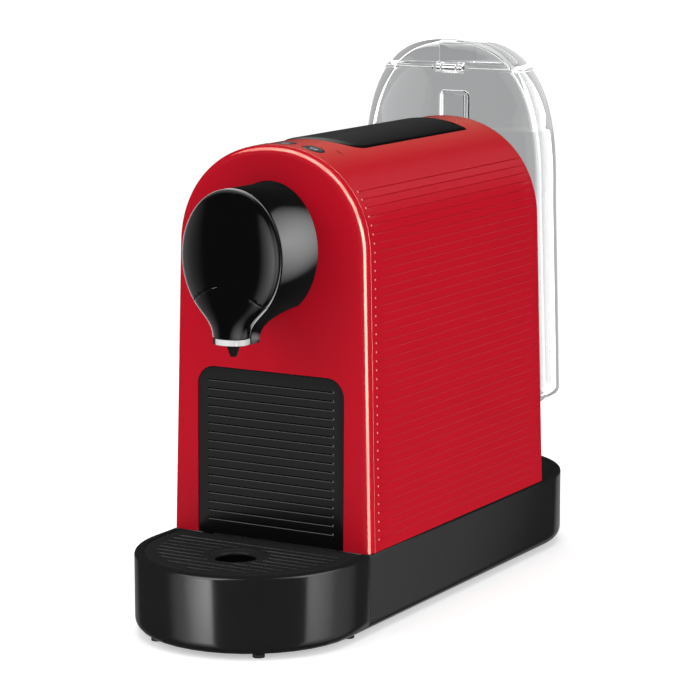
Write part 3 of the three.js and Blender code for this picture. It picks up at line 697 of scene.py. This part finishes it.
def bezier(p0, p1, p2, p3, steps):
    points = []
    for i in range(steps + 1):
        t = i / steps
        weights = ((1 - t) ** 3, 3 * t * (1 - t) ** 2, 3 * t * t * (1 - t), t ** 3)
        points.append(tuple(sum(w * p[k] for w, p in zip(weights, (p0, p1, p2, p3))) for k in (0, 1)))
    return points


def head_outline(inset, bottom, crown_steps=72, neck_steps=14):
    """The brew head from the front, from the right of the neck over the crown to its left."""
    a, b, neck = HEAD_A - inset, HEAD_B - inset, NECK_HALF - inset
    leave = math.radians(HEAD_LEAVE)
    x0, z0 = a * math.cos(leave), HEAD_Z + b * math.sin(leave)
    side = bezier((x0, z0), (x0 - 5.5, z0 - 5.8), (neck + 0.2, NECK_BEND), (neck, NECK_FOOT), neck_steps)
    turn = [leave + (math.pi - 2 * leave) * i / crown_steps for i in range(crown_steps + 1)]
    crown = [(a * math.cos(t), HEAD_Z + b * math.sin(t)) for t in turn]
    right = [p for p in reversed(side[1:]) if p[1] > bottom + 0.2]
    left = [(-x, z) for x, z in reversed(right)]
    return [(neck, bottom)] + right + crown + left + [(-neck, bottom)]


def stadium(inset, segments=48):
    radius = HALF_WIDTH - inset
    return arc(0, BASE_CENTRE, radius, 0, 180, segments) + arc(0, -BASE_CENTRE, radius, 180, 360, segments)


def quarter(radius, steps):
    """A rounded edge in steps: how far each one is from the end of the side and from the side."""
    turn = [math.pi / 2 * i / steps for i in range(steps + 1)]
    return [(radius * (1 - math.sin(t)), radius * (1 - math.cos(t))) for t in turn]


def fillet_rings(low, high, bottom_radius, top_radius, outline, steps=6):
    """Rings of a vertical-sided solid whose lower and upper edges are rounded."""
    levels = [(low + up, inset) for inset, up in quarter(bottom_radius, steps)]
    levels += [(high - down, inset) for down, inset in quarter(top_radius, steps)]
    return [[(x, y, z) for x, y in outline(inset)] for z, inset in levels]


# ---- red body


def crowded(steps, first=0):
    """Shares that crowd together towards 1, and towards -1 if first is -steps."""
    return [math.sin(math.pi / 2 * i / steps) for i in range(first, steps + 1)]


def slit_rows():
    """Half section rows (x, z, nx, nz, depth): a slit has a sloping lower side and a steep upper one."""
    rows = [(0.0, 0.0), (2.0, 0.0)]
    for k in range(SLIT_COUNT):
        centre = FIRST_SLIT + SLIT_PITCH * k
        rows += [(centre - SLIT_HALF, 0.0), (centre + SLIT_FLOOR, 1.0), (centre + SLIT_HALF, 0.0)]
        rows.append((centre + SLIT_PITCH / 2, 0.0))
    start = FIRST_SLIT + SLIT_PITCH * SLIT_COUNT
    steps = round((ARCH_LENGTH - start) / 2.4)
    rows += [(start + (ARCH_LENGTH - start) * i / steps, 0.0) for i in range(1, steps + 1)]
    return mirrored([arch_at(s) + (depth,) for s, depth in rows])


def shell_columns():
    """(y as a function of z, inset, slit share) from the front seam to the rounded rear edge."""
    seam, chamfer, middle_steps = PANEL_DEPTH + 0.15, 0.06, 15

    def along(share):
        return lambda z: ((front_y(z) + SLIT_START + SLIT_RUN_IN) * (1 - share)
                          + (back_y(z) - SLIT_END) * share)

    columns = [(lambda z: front_y(z) + seam, chamfer, 0.0),
               (lambda z: front_y(z) + (seam + chamfer), 0.0, 0.0),
               (lambda z: front_y(z) + SLIT_START, 0.0, 0.0)]
    columns += [(along(i / middle_steps), 0.0, 1.0) for i in range(middle_steps + 1)]
    columns.append((lambda z: back_y(z) - SLIT_END + SLIT_RUN_OUT, 0.0, 0.0))
    for before, inset in quarter(REAR_ROUND, 5):
        columns.append((lambda z, before=before: back_y(z) - before, min(inset, WALL - 0.3), 0.0))
    return columns


def lid_front(x, grow=0.0):
    """The curved front edge of the lever lid."""
    half = LID_HIGH[0] + grow
    return LID_FRONT - (LID_CURVE + grow) * max(0.0, 1 - (abs(x) / half) ** 2.6) ** 0.5


def lid_plan(grow):
    half, rear = LID_HIGH[0] + grow, LID_HIGH[1] + grow * 1.5
    xs = [half * t for t in crowded(16, -16)]
    return [(x, lid_front(x, grow)) for x in xs] + [(half, rear), (-half, rear)]


def button_places():
    places = {}
    for name in ("button_left", "button_middle", "button_right"):
        low, high = box_mm(name)
        places[name] = (low[0] + high[0]) / 2
    return places


def make_body_shell():
    rows = slit_rows()
    rings = []
    for place, inset, slit in shell_columns():
        outer = []
        for x, z, nx, nz, depth in rows:
            push = inset + SLIT_DEPTH * depth * slit
            outer.append((x - nx * push, place(z), z - nz * push))
        inner = [(x - nx * WALL, place(z), z - nz * WALL) for x, z, nx, nz, _ in rows]
        rings.append(outer + inner[::-1])
    count = len(rings[0])
    points = [p for ring in rings for p in ring]
    faces = ring_faces(rings)
    last = len(points) - count
    for i in range(count // 2 - 1):
        j = count - 1 - i
        faces.append((i, i + 1, j - 1, j))
        faces.append((last + i + 1, last + i, last + j, last + j - 1))
    shell = mesh_object("body_shell_look", points, faces)
    cutters = [prism_z("cut", lid_plan(0.4), 230, 270)]
    for x in button_places().values():
        cutters.append(prism_z("cut", circle(x, BUTTON_Y, BUTTON_RADIUS + 0.3), 235, 270))
    low, high = box_mm("status_light_lens")
    gap = 0.3
    cutters.append(block("cut", (low[0] - gap, low[1] - gap, 240), (high[0] + gap, high[1] + gap, 265)))
    combine(shell, *cutters)
    finish_piece(shell, "red_shell_look", "red_shell", replaces=["body_shell"], angle=28, gloss="red")


def make_slit_dots():
    """A small bright stud before the front end of each slit."""
    dots = []
    for k in range(SLIT_COUNT):
        x, z, nx, nz = arch_at(FIRST_SLIT + SLIT_PITCH * k)
        for side in (1, -1):
            centre = Vector((side * x, front_y(z) + DOT_PLACE, z))
            out = Vector((side * nx, 0, nz))
            across = out.cross(Vector((0, 1, 0))).normalized()
            rings = []
            for rise, share in DOT_PROFILE:
                radius, ring = DOT_RADIUS * share, []
                for i in range(10):
                    t = 2 * math.pi * i / 10
                    place = centre + out * rise + across * radius * math.cos(t)
                    place += Vector((0, 1, 0)) * radius * math.sin(t)
                    ring.append(tuple(place))
                rings.append(ring)
            dots.append(loft("dot", rings))
    finish_piece(merge_meshes("slit_dots", dots), "slit_dots", "pale_dot", gloss=None)


def niche_outline(inset):
    half, top, radius = NICHE_HALF - inset, NICHE_TOP - inset, NICHE_CORNER - inset
    corners = arc(half - radius, top - radius, radius, 0, 90, 12)
    mirror = [(-x, z) for x, z in reversed(corners)]
    return [(half, BODY_FOOT)] + corners + mirror + [(-half, BODY_FOOT)]


def make_front_panel():
    rows, chamfer = plain_arch(), 0.06
    levels = [(WALL, WALL), (PANEL_DEPTH, WALL), (PANEL_DEPTH, chamfer), (PANEL_DEPTH - chamfer, 0.0)]
    levels += quarter(FRONT_ROUND, 8)[1:]
    panel = loft("front_panel_look", [
        [(x - nx * inset, front_y(z) + depth, z - nz * inset) for x, z, nx, nz in rows]
        for depth, inset in levels
    ])
    niche = prism_y("cut", [(x, z - 3 if z <= BODY_FOOT else z) for x, z in niche_outline(0)], -120, -80)
    neck_top = 173.2
    head = prism_y("cut", [p for p in head_outline(-0.3, 160) if p[1] > neck_top], -120, -80)
    combine(panel, niche, head)
    finish_piece(panel, "front_panel_look", "red_shell", replaces=["front_panel"], angle=28, gloss="red")


def make_rear_cover():
    rows, inset = plain_arch(), 2.8
    cover = loft("rear_cover_look", [
        [(x - nx * inset, back_y(z) + v, z - nz * inset) for x, z, nx, nz in rows] for v in (-4.4, -2.1)
    ])
    vents = [prism_y("cut", slot_outline(0, 206 + 6 * i, 24, 1.2), 90, 120) for i in range(6)]
    seat = block("cut", (-20.4, 90, 61.6), (20.4, 120, 86.4))
    combine(cover, seat, *vents)
    soften(cover, 0.4)
    finish_piece(cover, "rear_cover_look", "matt_black", replaces=["rear_cover"])


def slot_outline(u, v, half, radius, segments=8):
    """A long round-ended slot along the first axis."""
    reach = half - radius
    return arc(u + reach, v, radius, -90, 90, segments) + arc(u - reach, v, radius, 90, 270, segments)


# ---- brew head


def face_y(share):
    """Depth of the domed face; share is 0 on the middle line and 1 at the rim."""
    return RIM_Y + (FACE_Y - RIM_Y) * max(0.0, 1 - share ** 2.05) ** (1 / 2.0)


def head_front_block(name, bottom):
    outline = head_outline(0, bottom)
    shares = crowded(14, 1)
    points, rows = [], []
    for x, z in outline:
        middle = min(z, HEAD_Z)
        row = [len(points)]
        points.append((0.0, face_y(0), middle))
        for share in shares:
            row.append(len(points))
            points.append((x * share, face_y(share), middle + (z - middle) * share))
        for y in (SEAM_Y - 0.4, SEAM_Y):
            row.append(len(points))
            inset = 0.0 if y < SEAM_Y else 0.3
            points.append((x * (1 - inset / HEAD_A), y, z))
        rows.append(row)
    faces = [
        (a[i], b[i], b[i + 1], a[i + 1]) for a, b in zip(rows, rows[1:]) for i in range(len(a) - 1)
    ]
    faces.append(tuple(row[-1] for row in rows))
    first, last = rows[0], rows[-1]
    faces.append(tuple(first) + tuple(reversed(last)))
    return mesh_object(name, points, faces)


def below_seam(lift):
    """What lies under the curved seam between the head's cap and its spout cover."""
    crest, drop, reach = 188.5, 9.5, 21
    curve = [(x, crest - drop * (x / reach) ** 2 + lift) for x in range(36, -37, -2)]
    return prism_y("cut", [(-36, 100), (36, 100)] + curve, -160, -120)


def spout_way():
    return prism_z("cut", circle(0, SPOUT_Y, SPOUT_BORE, 32), 140, 176)


def make_head_front():
    cap = combine(head_front_block("cap", BAND_HIGH[2] + 0.3), below_seam(0.12))
    soften(cap, 0.2, angle=50)
    finish_piece(cap, "head_cap_look", "gloss_black", replaces=["head_front_cap"], angle=40,
                 gloss="face")
    cover = combine(head_front_block("cover", BAND_HIGH[2] + 0.3), below_seam(-0.12), mode="INTERSECT")
    combine(cover, spout_way())
    soften(cover, 0.2, angle=50)
    finish_piece(cover, "spout_cover_look", "gloss_black", replaces=["head_spout_cover"], angle=40,
                 gloss="face")


def make_trim_band():
    def plan(grow):
        half = NECK_HALF + grow
        front = [(half * t, face_y(abs(t)) - grow) for t in crowded(10, -10)]
        return front + [(half, SEAM_Y), (-half, SEAM_Y)]

    low, high = BAND_LOW[2], BAND_HIGH[2]
    levels = ((low, -0.4), (low + 0.25, -0.05), (low + 0.6, 0.0),
              (high - 0.6, 0.0), (high - 0.2, -0.05), (high, -0.3))
    band = loft("band", [[(x, y, z) for x, y in plan(grow)] for z, grow in levels])
    combine(band, spout_way())
    finish_piece(band, "trim_band_look", "chrome", replaces=["head_trim_band"], gloss="trim")


def make_head_housing():
    low, _ = box_mm("head_housing")
    seam = low[1]
    levels = ((seam, 0.35), (seam + 0.35, 0.05), (seam + 0.8, 0.0), (seam + 1.6, 0.0), (NECK_END, 0.5))
    housing = loft("housing", [
        [(x, y, z) for x, z in head_outline(inset, low[2])] for y, inset in levels
    ])
    curve = bezier((-90, 174), (-108, 173), (-122, 171), (-124, low[2]), 24)
    under = prism_x("cut", curve + [(-124, 140), (-80, 140), (-80, 174)], -50, 50)
    combine(housing, under, spout_way())
    soften(housing, 0.5, angle=50)
    finish_piece(housing, "head_housing_look", "gloss_black", replaces=["head_housing"], angle=40,
                 gloss="housing")


def make_spout():
    low, _ = box_mm("coffee_spout")
    profile = [(low[2], 1.5), (low[2] + 0.3, 1.7), (153.2, 2.5), (155.2, 3.1), (156.4, 3.7),
               (158, 3.7), (170, 3.7)]
    rings = [[(x, y, z) for x, y in circle(0, SPOUT_Y, radius, 32)] for z, radius in profile]
    spout = combine(loft("spout", rings), prism_z("cut", circle(0, SPOUT_Y, 0.9, 24), 140, 165))
    finish_piece(spout, "spout_look", "matt_black", replaces=["coffee_spout"], angle=50, gloss="housing")


# ---- base, tray, grid, niche


def base_solid(name):
    low, high = TRAY_LOW[2], TRAY_HIGH[2]
    rings = fillet_rings(BASE_LOW[2], high, BASE_FOOT_ROUND, BASE_TOP_ROUND, stadium)
    cut_level = [ring for ring in rings if ring[0][2] > low + 0.3]
    first = [(x, y, low) for x, y in stadium(0.85)]
    return loft(name, [first] + cut_level)


def make_base():
    rear = base_solid("base")
    combine(rear, block("clip", (-WIDE, SHELL_LOW[1], -5), (WIDE, 200, 60)), mode="INTERSECT")
    inside = prism_z("cut", stadium(WALL), -5, BASE_TOP - WALL)
    tray_way = block("cut", (-43, -120, -5), (43, -12, 60))
    gland = prism_y("cut", circle(*GLAND, 32), 165, 190)
    combine(rear, inside, tray_way, gland)
    groove = combine(prism_z("groove", stadium(DECK_GROOVE[0]), BASE_TOP - 0.5, BASE_TOP + 2),
                     prism_z("cut", stadium(DECK_GROOVE[1]), BASE_TOP - 2, BASE_TOP + 3))
    combine(rear, groove)
    soften(rear, 0.25, angle=50)
    finish_piece(rear, "base_look", "satin_black", replaces=["base_shell"])


def make_tray():
    def before_wall(shape):
        return combine(shape, block("cut", (-WIDE, TRAY_BACK - WALL, 0), (WIDE, 200, 60)))

    clip = block("clip", (-WIDE, -200, -5), (WIDE, TRAY_BACK, 60))
    tray = combine(base_solid("tray"), clip, mode="INTERSECT")
    floor, mouth_low, grid_seat, high = 8, 38, 40.9, 60
    basin = before_wall(prism_z("cut", stadium(WALL), floor, mouth_low + 0.6))
    mouth = before_wall(prism_z("cut", stadium(7.4), mouth_low, high))
    seat = prism_z("cut", stadium(4.7), grid_seat, high)
    combine(tray, basin, mouth, seat)
    tongue = block("tongue", (-41, TRAY_BACK - 1, TRAY_LOW[2]), (41, -20, 24))
    combine(tray, tongue, mode="UNION")
    combine(tray, block("cut", (-38.8, TRAY_BACK, floor), (38.8, -22, 40)))
    soften(tray, 0.25, angle=50)
    finish_piece(tray, "tray_look", "satin_black", body="tray", replaces=["drip_tray"])


def make_grid():
    top, low = GRID_HIGH[2], GRID_LOW[2]
    rings = fillet_rings(low, top, 0.3, 0.9, lambda inset: stadium(5 + inset), steps=4)
    clip = block("clip", (-WIDE, -200, 0), (WIDE, GRID_HIGH[1], 60))
    grid = combine(loft("grid", rings), clip, mode="INTERSECT")
    ring_radius = HOLE_RADIUS + 4.6
    slots = []
    for i in range(10):
        y = FIRST_GRID_SLOT - GRID_SLOT_PITCH * i
        half = math.sqrt(GRID_SLOT_REACH ** 2 - (y + BASE_CENTRE) ** 2)
        gap = math.sqrt(max(0.0, (ring_radius + 1.2) ** 2 - (y - HOLE_Y) ** 2))
        if gap > 3:
            middle, reach = (half + gap) / 2, (half - gap) / 2
            for side in (1, -1):
                slots.append(prism_z("cut", slot_outline(side * middle, y, reach, GRID_SLOT_HALF), 30, 60))
        else:
            slots.append(prism_z("cut", slot_outline(0, y, half, GRID_SLOT_HALF), 30, 60))
    combine(grid, *slots)
    dish = [(0, 30), (0, top - 1.6), (0.6, top - 1.1), (2.6, top - 0.5), (3.4, top + 0.2), (3.4, 60)]
    combine(grid, loft("cut", [
        [(x, y, z) for x, y in circle(0, HOLE_Y, HOLE_RADIUS + out, 64)] for out, z in dish
    ]))
    soften(grid, 0.3, angle=50)
    finish_piece(grid, "grid_look", "grid_black", body="grid", replaces=["drip_grid"])


def make_niche():
    outline = niche_outline(0.3)
    heights = [FIRST_GROOVE + GROOVE_PITCH * k for k in range(GROOVE_COUNT)]
    levels = ((2.6, 0.0), (NICHE_DEPTH + 0.5, 0.0), (NICHE_DEPTH + 0.15, 0.15), (NICHE_DEPTH, 0.5))
    rings = []
    for depth, inset in levels:
        scale = 1 - inset / 45.6
        rings.append([(x * scale, front_y(z) + depth, z - (inset if z > 60 else 0)) for x, z in outline])
    panel = loft("niche", rings)
    grooves, dots = [], []
    for z in heights:
        y = front_y(z) + NICHE_DEPTH
        floor, front = y + 0.8, y - 1
        section = [(front, z + 0.35), (floor, z + 0.35), (floor, z - 0.05), (y, z - 0.8), (front, z - 0.8)]
        grooves.append(prism_x("groove", section, -GROOVE_HALF, GROOVE_HALF))
    combine(panel, merge_meshes("grooves", grooves))
    finish_piece(panel, "niche_look", "niche_black", body="tray", replaces=["niche_panel"],
                 gloss="niche")
    for z in heights:
        y = front_y(z) + NICHE_DEPTH
        dots.append(prism_y("dot", circle(39.2, z, 0.36, 10), y - 0.05, y + 0.8))
    finish_piece(merge_meshes("niche_dots", dots), "niche_dots", "dim_dot", body="tray",
                 gloss=None)


# ---- lever lid and buttons


def make_lever_lid():
    half, rear, proud, under = LID_HIGH[0], LID_HIGH[1], 0.8, 2.0
    xs = [half * t for t in crowded(18, -18)]
    shares = [0, 0.004, 0.012, 0.022, 0.034, 0.046, 0.06]
    shares += [0.06 + 0.92 * i / 12 for i in range(1, 13)] + [0.988, 0.995, 1]
    rim = 0.5

    def top_height(x, y, front):
        lip = min(1.0, (y - front) / 5.5)
        droop = 1.5 * (1 - lip) ** 2.2
        end = min(1.0, max(0.0, (rear - y) / 1.4))
        side = min(1.0, (half - abs(x)) / 0.8)
        return arch_height(x) + proud - droop - rim * (1 - end) ** 2 - rim * (1 - side) ** 2

    top, bottom = [], []
    for x in xs:
        front = lid_front(x)
        for share in shares:
            y = front + (rear - front) * share
            top.append((x, y, top_height(x, y, front)))
            bottom.append((x, y, arch_height(x) - under))
    rows, columns = len(xs), len(shares)
    points = top + bottom
    offset = len(top)
    faces = []
    for i in range(rows - 1):
        for j in range(columns - 1):
            a, b = i * columns + j, (i + 1) * columns + j
            faces.append((a, b, b + 1, a + 1))
            faces.append((offset + a, offset + a + 1, offset + b + 1, offset + b))
    for i in range(rows - 1):
        for j in (0, columns - 1):
            a, b = i * columns + j, (i + 1) * columns + j
            faces.append((a, b, offset + b, offset + a))
    for j in range(columns - 1):
        for i in (0, rows - 1):
            a = i * columns + j
            faces.append((a, a + 1, offset + a + 1, offset + a))
    lid = mesh_object("lid", points, faces)
    y, z = LEVER_AXIS
    extras = [prism_x("knuckle", circle(y, z, 2.5, 24), -5.8, 5.8)]
    arm = bezier((56, z), (56, 247), (57, 240), (59, 238), 6)
    arm += bezier((64, 238), (68, 241), (71, 248), (72, z), 6)
    extras += [prism_x("arm", arm, x, x + 3) for x in (-15, 12)]
    combine(lid, *extras, mode="UNION")
    cutters = [prism_x("cut", circle(y, z, 1.2, 16), -20, 20)]
    for x in (-9.4, 6.1):
        cutters.append(prism_x("cut", circle(y, z, 2.3, 16), x, x + 3.3))
        cutters.append(block("cut", (x, y - 3.4, 240), (x + 3.3, y, z + 0.6)))
        cutters.append(block("cut", (x, y - 0.2, 240), (x + 3.3, y + 5, z + 1.6)))
    combine(lid, *cutters)
    finish_piece(lid, "lever_lid_look", "lid_black", body="lever", replaces=["lever_lid"],
                 angle=40, gloss="lid")


def make_buttons():
    prints = []
    for order, (name, x) in enumerate(button_places().items()):
        rings = []
        for rise, inset in BUTTON_PROFILE:
            ring = circle(x, BUTTON_Y, BUTTON_RADIUS - inset)
            rings.append([(u, v, arch_height(u) + rise + 0.15) for u, v in ring])
        cap = loft("cap", rings)
        stem = prism_z("stem", circle(x, BUTTON_Y, 2, 20), arch_height(x) - 9, arch_height(x) - 3)
        combine(cap, stem, mode="UNION")
        finish_piece(cap, f"{name}_look", "button_black", body=name, replaces=[name],
                     angle=50, gloss="lid")
        cup_width = 1.5 + 0.3 * order
        cup = [(-cup_width, 1.3), (cup_width, 1.3), (cup_width * 0.8, -1.2), (-cup_width * 0.8, -1.2)]
        level = arch_height(x) - 0.1
        slope = (arch_height(x + 1) - arch_height(x - 1)) / 2
        inner = [(u * 0.72, v * 0.66) for u, v in cup]

        def icon_solid(outline, rises):
            return loft("icon", [
                [(x + u, BUTTON_Y + v, level + slope * u + rise) for u, v in outline] for rise in rises
            ])

        prints.append((combine(icon_solid(cup, (-0.3, 0.06)), icon_solid(inner, (-1, 1))), name))
    for icon, name in prints:
        finish_piece(icon, f"{name}_icon", "pale_print", body=name, gloss=None)


# ---- water tank


def tank_half(z):
    if z <= TANK_Z:
        return TANK_A + TANK_DRAFT * (TANK_Z - z)
    up = min(1.0, (z - TANK_Z) / TANK_B)
    return TANK_A * (1 - up ** TANK_POWER) ** (1 / TANK_POWER)


def tank_ring(z, inset, extra=0.0, segments=48):
    half = max(0.6, tank_half(min(z + inset * 0.9, TANK_Z + TANK_B - 0.02)) - inset - extra)
    front = min(back_y(z) + 1 + inset + min(extra, 3.0), TANK_AXIS - 1.2)
    corner = min(TANK_FRONT_ROUND, half * 0.4, TANK_AXIS - front - 0.3)
    plan = arc(-half + corner, front + corner, corner, 270, 180, 6)
    plan += [(half * math.cos(t), TANK_AXIS + half * math.sin(t))
             for t in (math.pi - math.pi * i / segments for i in range(segments + 1))]
    plan += arc(half - corner, front + corner, corner, 0, -90, 6)
    return [(x, y, z) for x, y in plan]


def tank_levels(low, high, count):
    """Heights that crowd together towards the crown."""
    return [low + (high - low) * t for t in crowded(count)]


def bottom_rings(low, radius, inset, steps=5):
    return [tank_ring(low + up, inset, extra) for extra, up in quarter(radius, steps)]


def tank_rods(radius, spans):
    return [prism_x("rod", circle(TANK_AXLE[0], TANK_AXLE[1], radius, 28), a, b) for a, b in spans]


def make_tank():
    seam, step = TANK_SEAM - 0.3, WALL + 0.7
    outer = bottom_rings(TANK_FLOOR, 5.0, 0.0)
    outer += [tank_ring(z, 0.0) for z in tank_levels(100, seam - 1.6, 22)]
    outer += [tank_ring(seam - 1.2, -TANK_RIM * 0.8), tank_ring(seam - 0.3, -TANK_RIM),
              tank_ring(seam, -TANK_RIM * 0.6)]
    inner = bottom_rings(TANK_FLOOR + WALL, 4.0, WALL)
    inner += [tank_ring(z, WALL) for z in tank_levels(100, 250, 14)] + [tank_ring(251, step)]
    inner += [tank_ring(z, step) for z in tank_levels(254, seam - 2, 10)[1:]]
    inner += [tank_ring(seam, WALL - 0.3)]
    tank = loft("tank", outer + inner[::-1])
    column = loft("column", [
        [(x, y, z) for x, y in rounded_box(9.3 - inset, 107.5, 115.0 - inset, 2.2)]
        for z, inset in ((92, 0), (268.5, 0), (270.6, 0.6), (271.8, 1.8))
    ])
    core = prism_z("cut", rounded_box(7.3, 104.0, 113.0, 1.4), 93.5, 269.5)
    combine(column, core)
    plan = ((-20, 0.8), (20, 0.8), (20, 30), (-20, 30))
    front_trim = loft("clip", [[(x, back_y(z) + 1 + v, z) for x, v in plan] for z in (80, 290)])
    combine(column, front_trim, mode="INTERSECT")
    combine(tank, column, mode="UNION")
    collar = prism_z("collar", circle(0, VALVE_Y, 9, 48), TANK_LOW[2], 91.5)
    combine(tank, collar, mode="UNION")
    combine(tank, prism_z("cut", circle(0, VALVE_Y, 5, 32), 80, 96), *tank_rods(3.4, [(-5, 5)]))
    combine(tank, *tank_rods(3, TANK_EARS), mode="UNION")
    combine(tank, *tank_rods(1.5, [(-12, 12)]))
    finish_piece(tank, "tank_look", "clear_plastic", body="tank", replaces=["water_tank"], angle=40,
                 gloss="clear")


def rounded_box(half, y0, y1, radius, segments=4):
    corners = ((half - radius, y1 - radius, 0), (-half + radius, y1 - radius, 90),
               (-half + radius, y0 + radius, 180), (half - radius, y0 + radius, 270))
    return [p for x, y, start in corners for p in arc(x, y, radius, start, start + 90, segments)]


def make_tank_lid():
    seam, top = TANK_SEAM, TANK_LID_HIGH[2]
    outer = [tank_ring(seam, -TANK_RIM * 0.6), tank_ring(seam + 0.4, -TANK_RIM),
             tank_ring(seam + 1.6, -TANK_RIM * 0.8), tank_ring(seam + 2.2, 0.0)]
    outer += [tank_ring(z, 0.0) for z in tank_levels(seam + 2.2, top - 0.05, 16)[1:]]
    inner = [tank_ring(seam, WALL - 0.3), tank_ring(seam + 2, WALL)]
    inner += [tank_ring(z, WALL) for z in tank_levels(seam + 2, top - WALL - 0.6, 12)[1:]]
    lid = loft("lid", outer[::-1] + inner)
    plate = prism_z("plate", rounded_box(11.8, 113.9, 115.6, 0.8), seam + 2.5, top - 1.6)
    combine(lid, plate, mode="UNION")
    combine(lid, *tank_rods(3.4, [(a - 0.2, b + 0.2) for a, b in TANK_EARS]))
    combine(lid, *tank_rods(3, [(-4.7, 4.7)]), mode="UNION")
    combine(lid, *tank_rods(1.5, [(-12, 12)]))
    finish_piece(lid, "tank_lid_look", "clear_plastic", body="tank_lid", replaces=["tank_lid"], angle=40,
                 gloss="clear")


# ---- CAD nodes that keep their shape


def dress_cad_nodes():
    """Every CAD node takes the procedural material of its record slot."""
    slots = {part["node"]: part["material_slot"] for part in frame["record"]["subparts"]}
    for name, piece in frame["nodes"].items():
        piece.data.materials.clear()
        piece.data.materials.append(FINISH[slots[name]])
        GLOSS_GROUPS["base"].objects.link(piece)
        piece.visible_glossy = False


def make_floor():
    outline = circle(0, 0, FLOOR_RADIUS, 128)
    floor = mesh_object("floor", [(x, y, 0) for x, y in outline], [tuple(range(len(outline)))])
    floor.data.materials.append(FINISH["floor"])
    floor.visible_glossy = False
    floor.visible_transmission = False


make_camera()
make_world()
make_lights()
dress_cad_nodes()
make_body_shell()
make_slit_dots()
make_front_panel()
make_rear_cover()
make_head_housing()
make_head_front()
make_trim_band()
make_spout()
make_base()
make_tray()
make_grid()
make_niche()
make_lever_lid()
make_buttons()
make_tank()
make_tank_lid()
make_floor()

scene.view_settings.view_transform = "Standard"
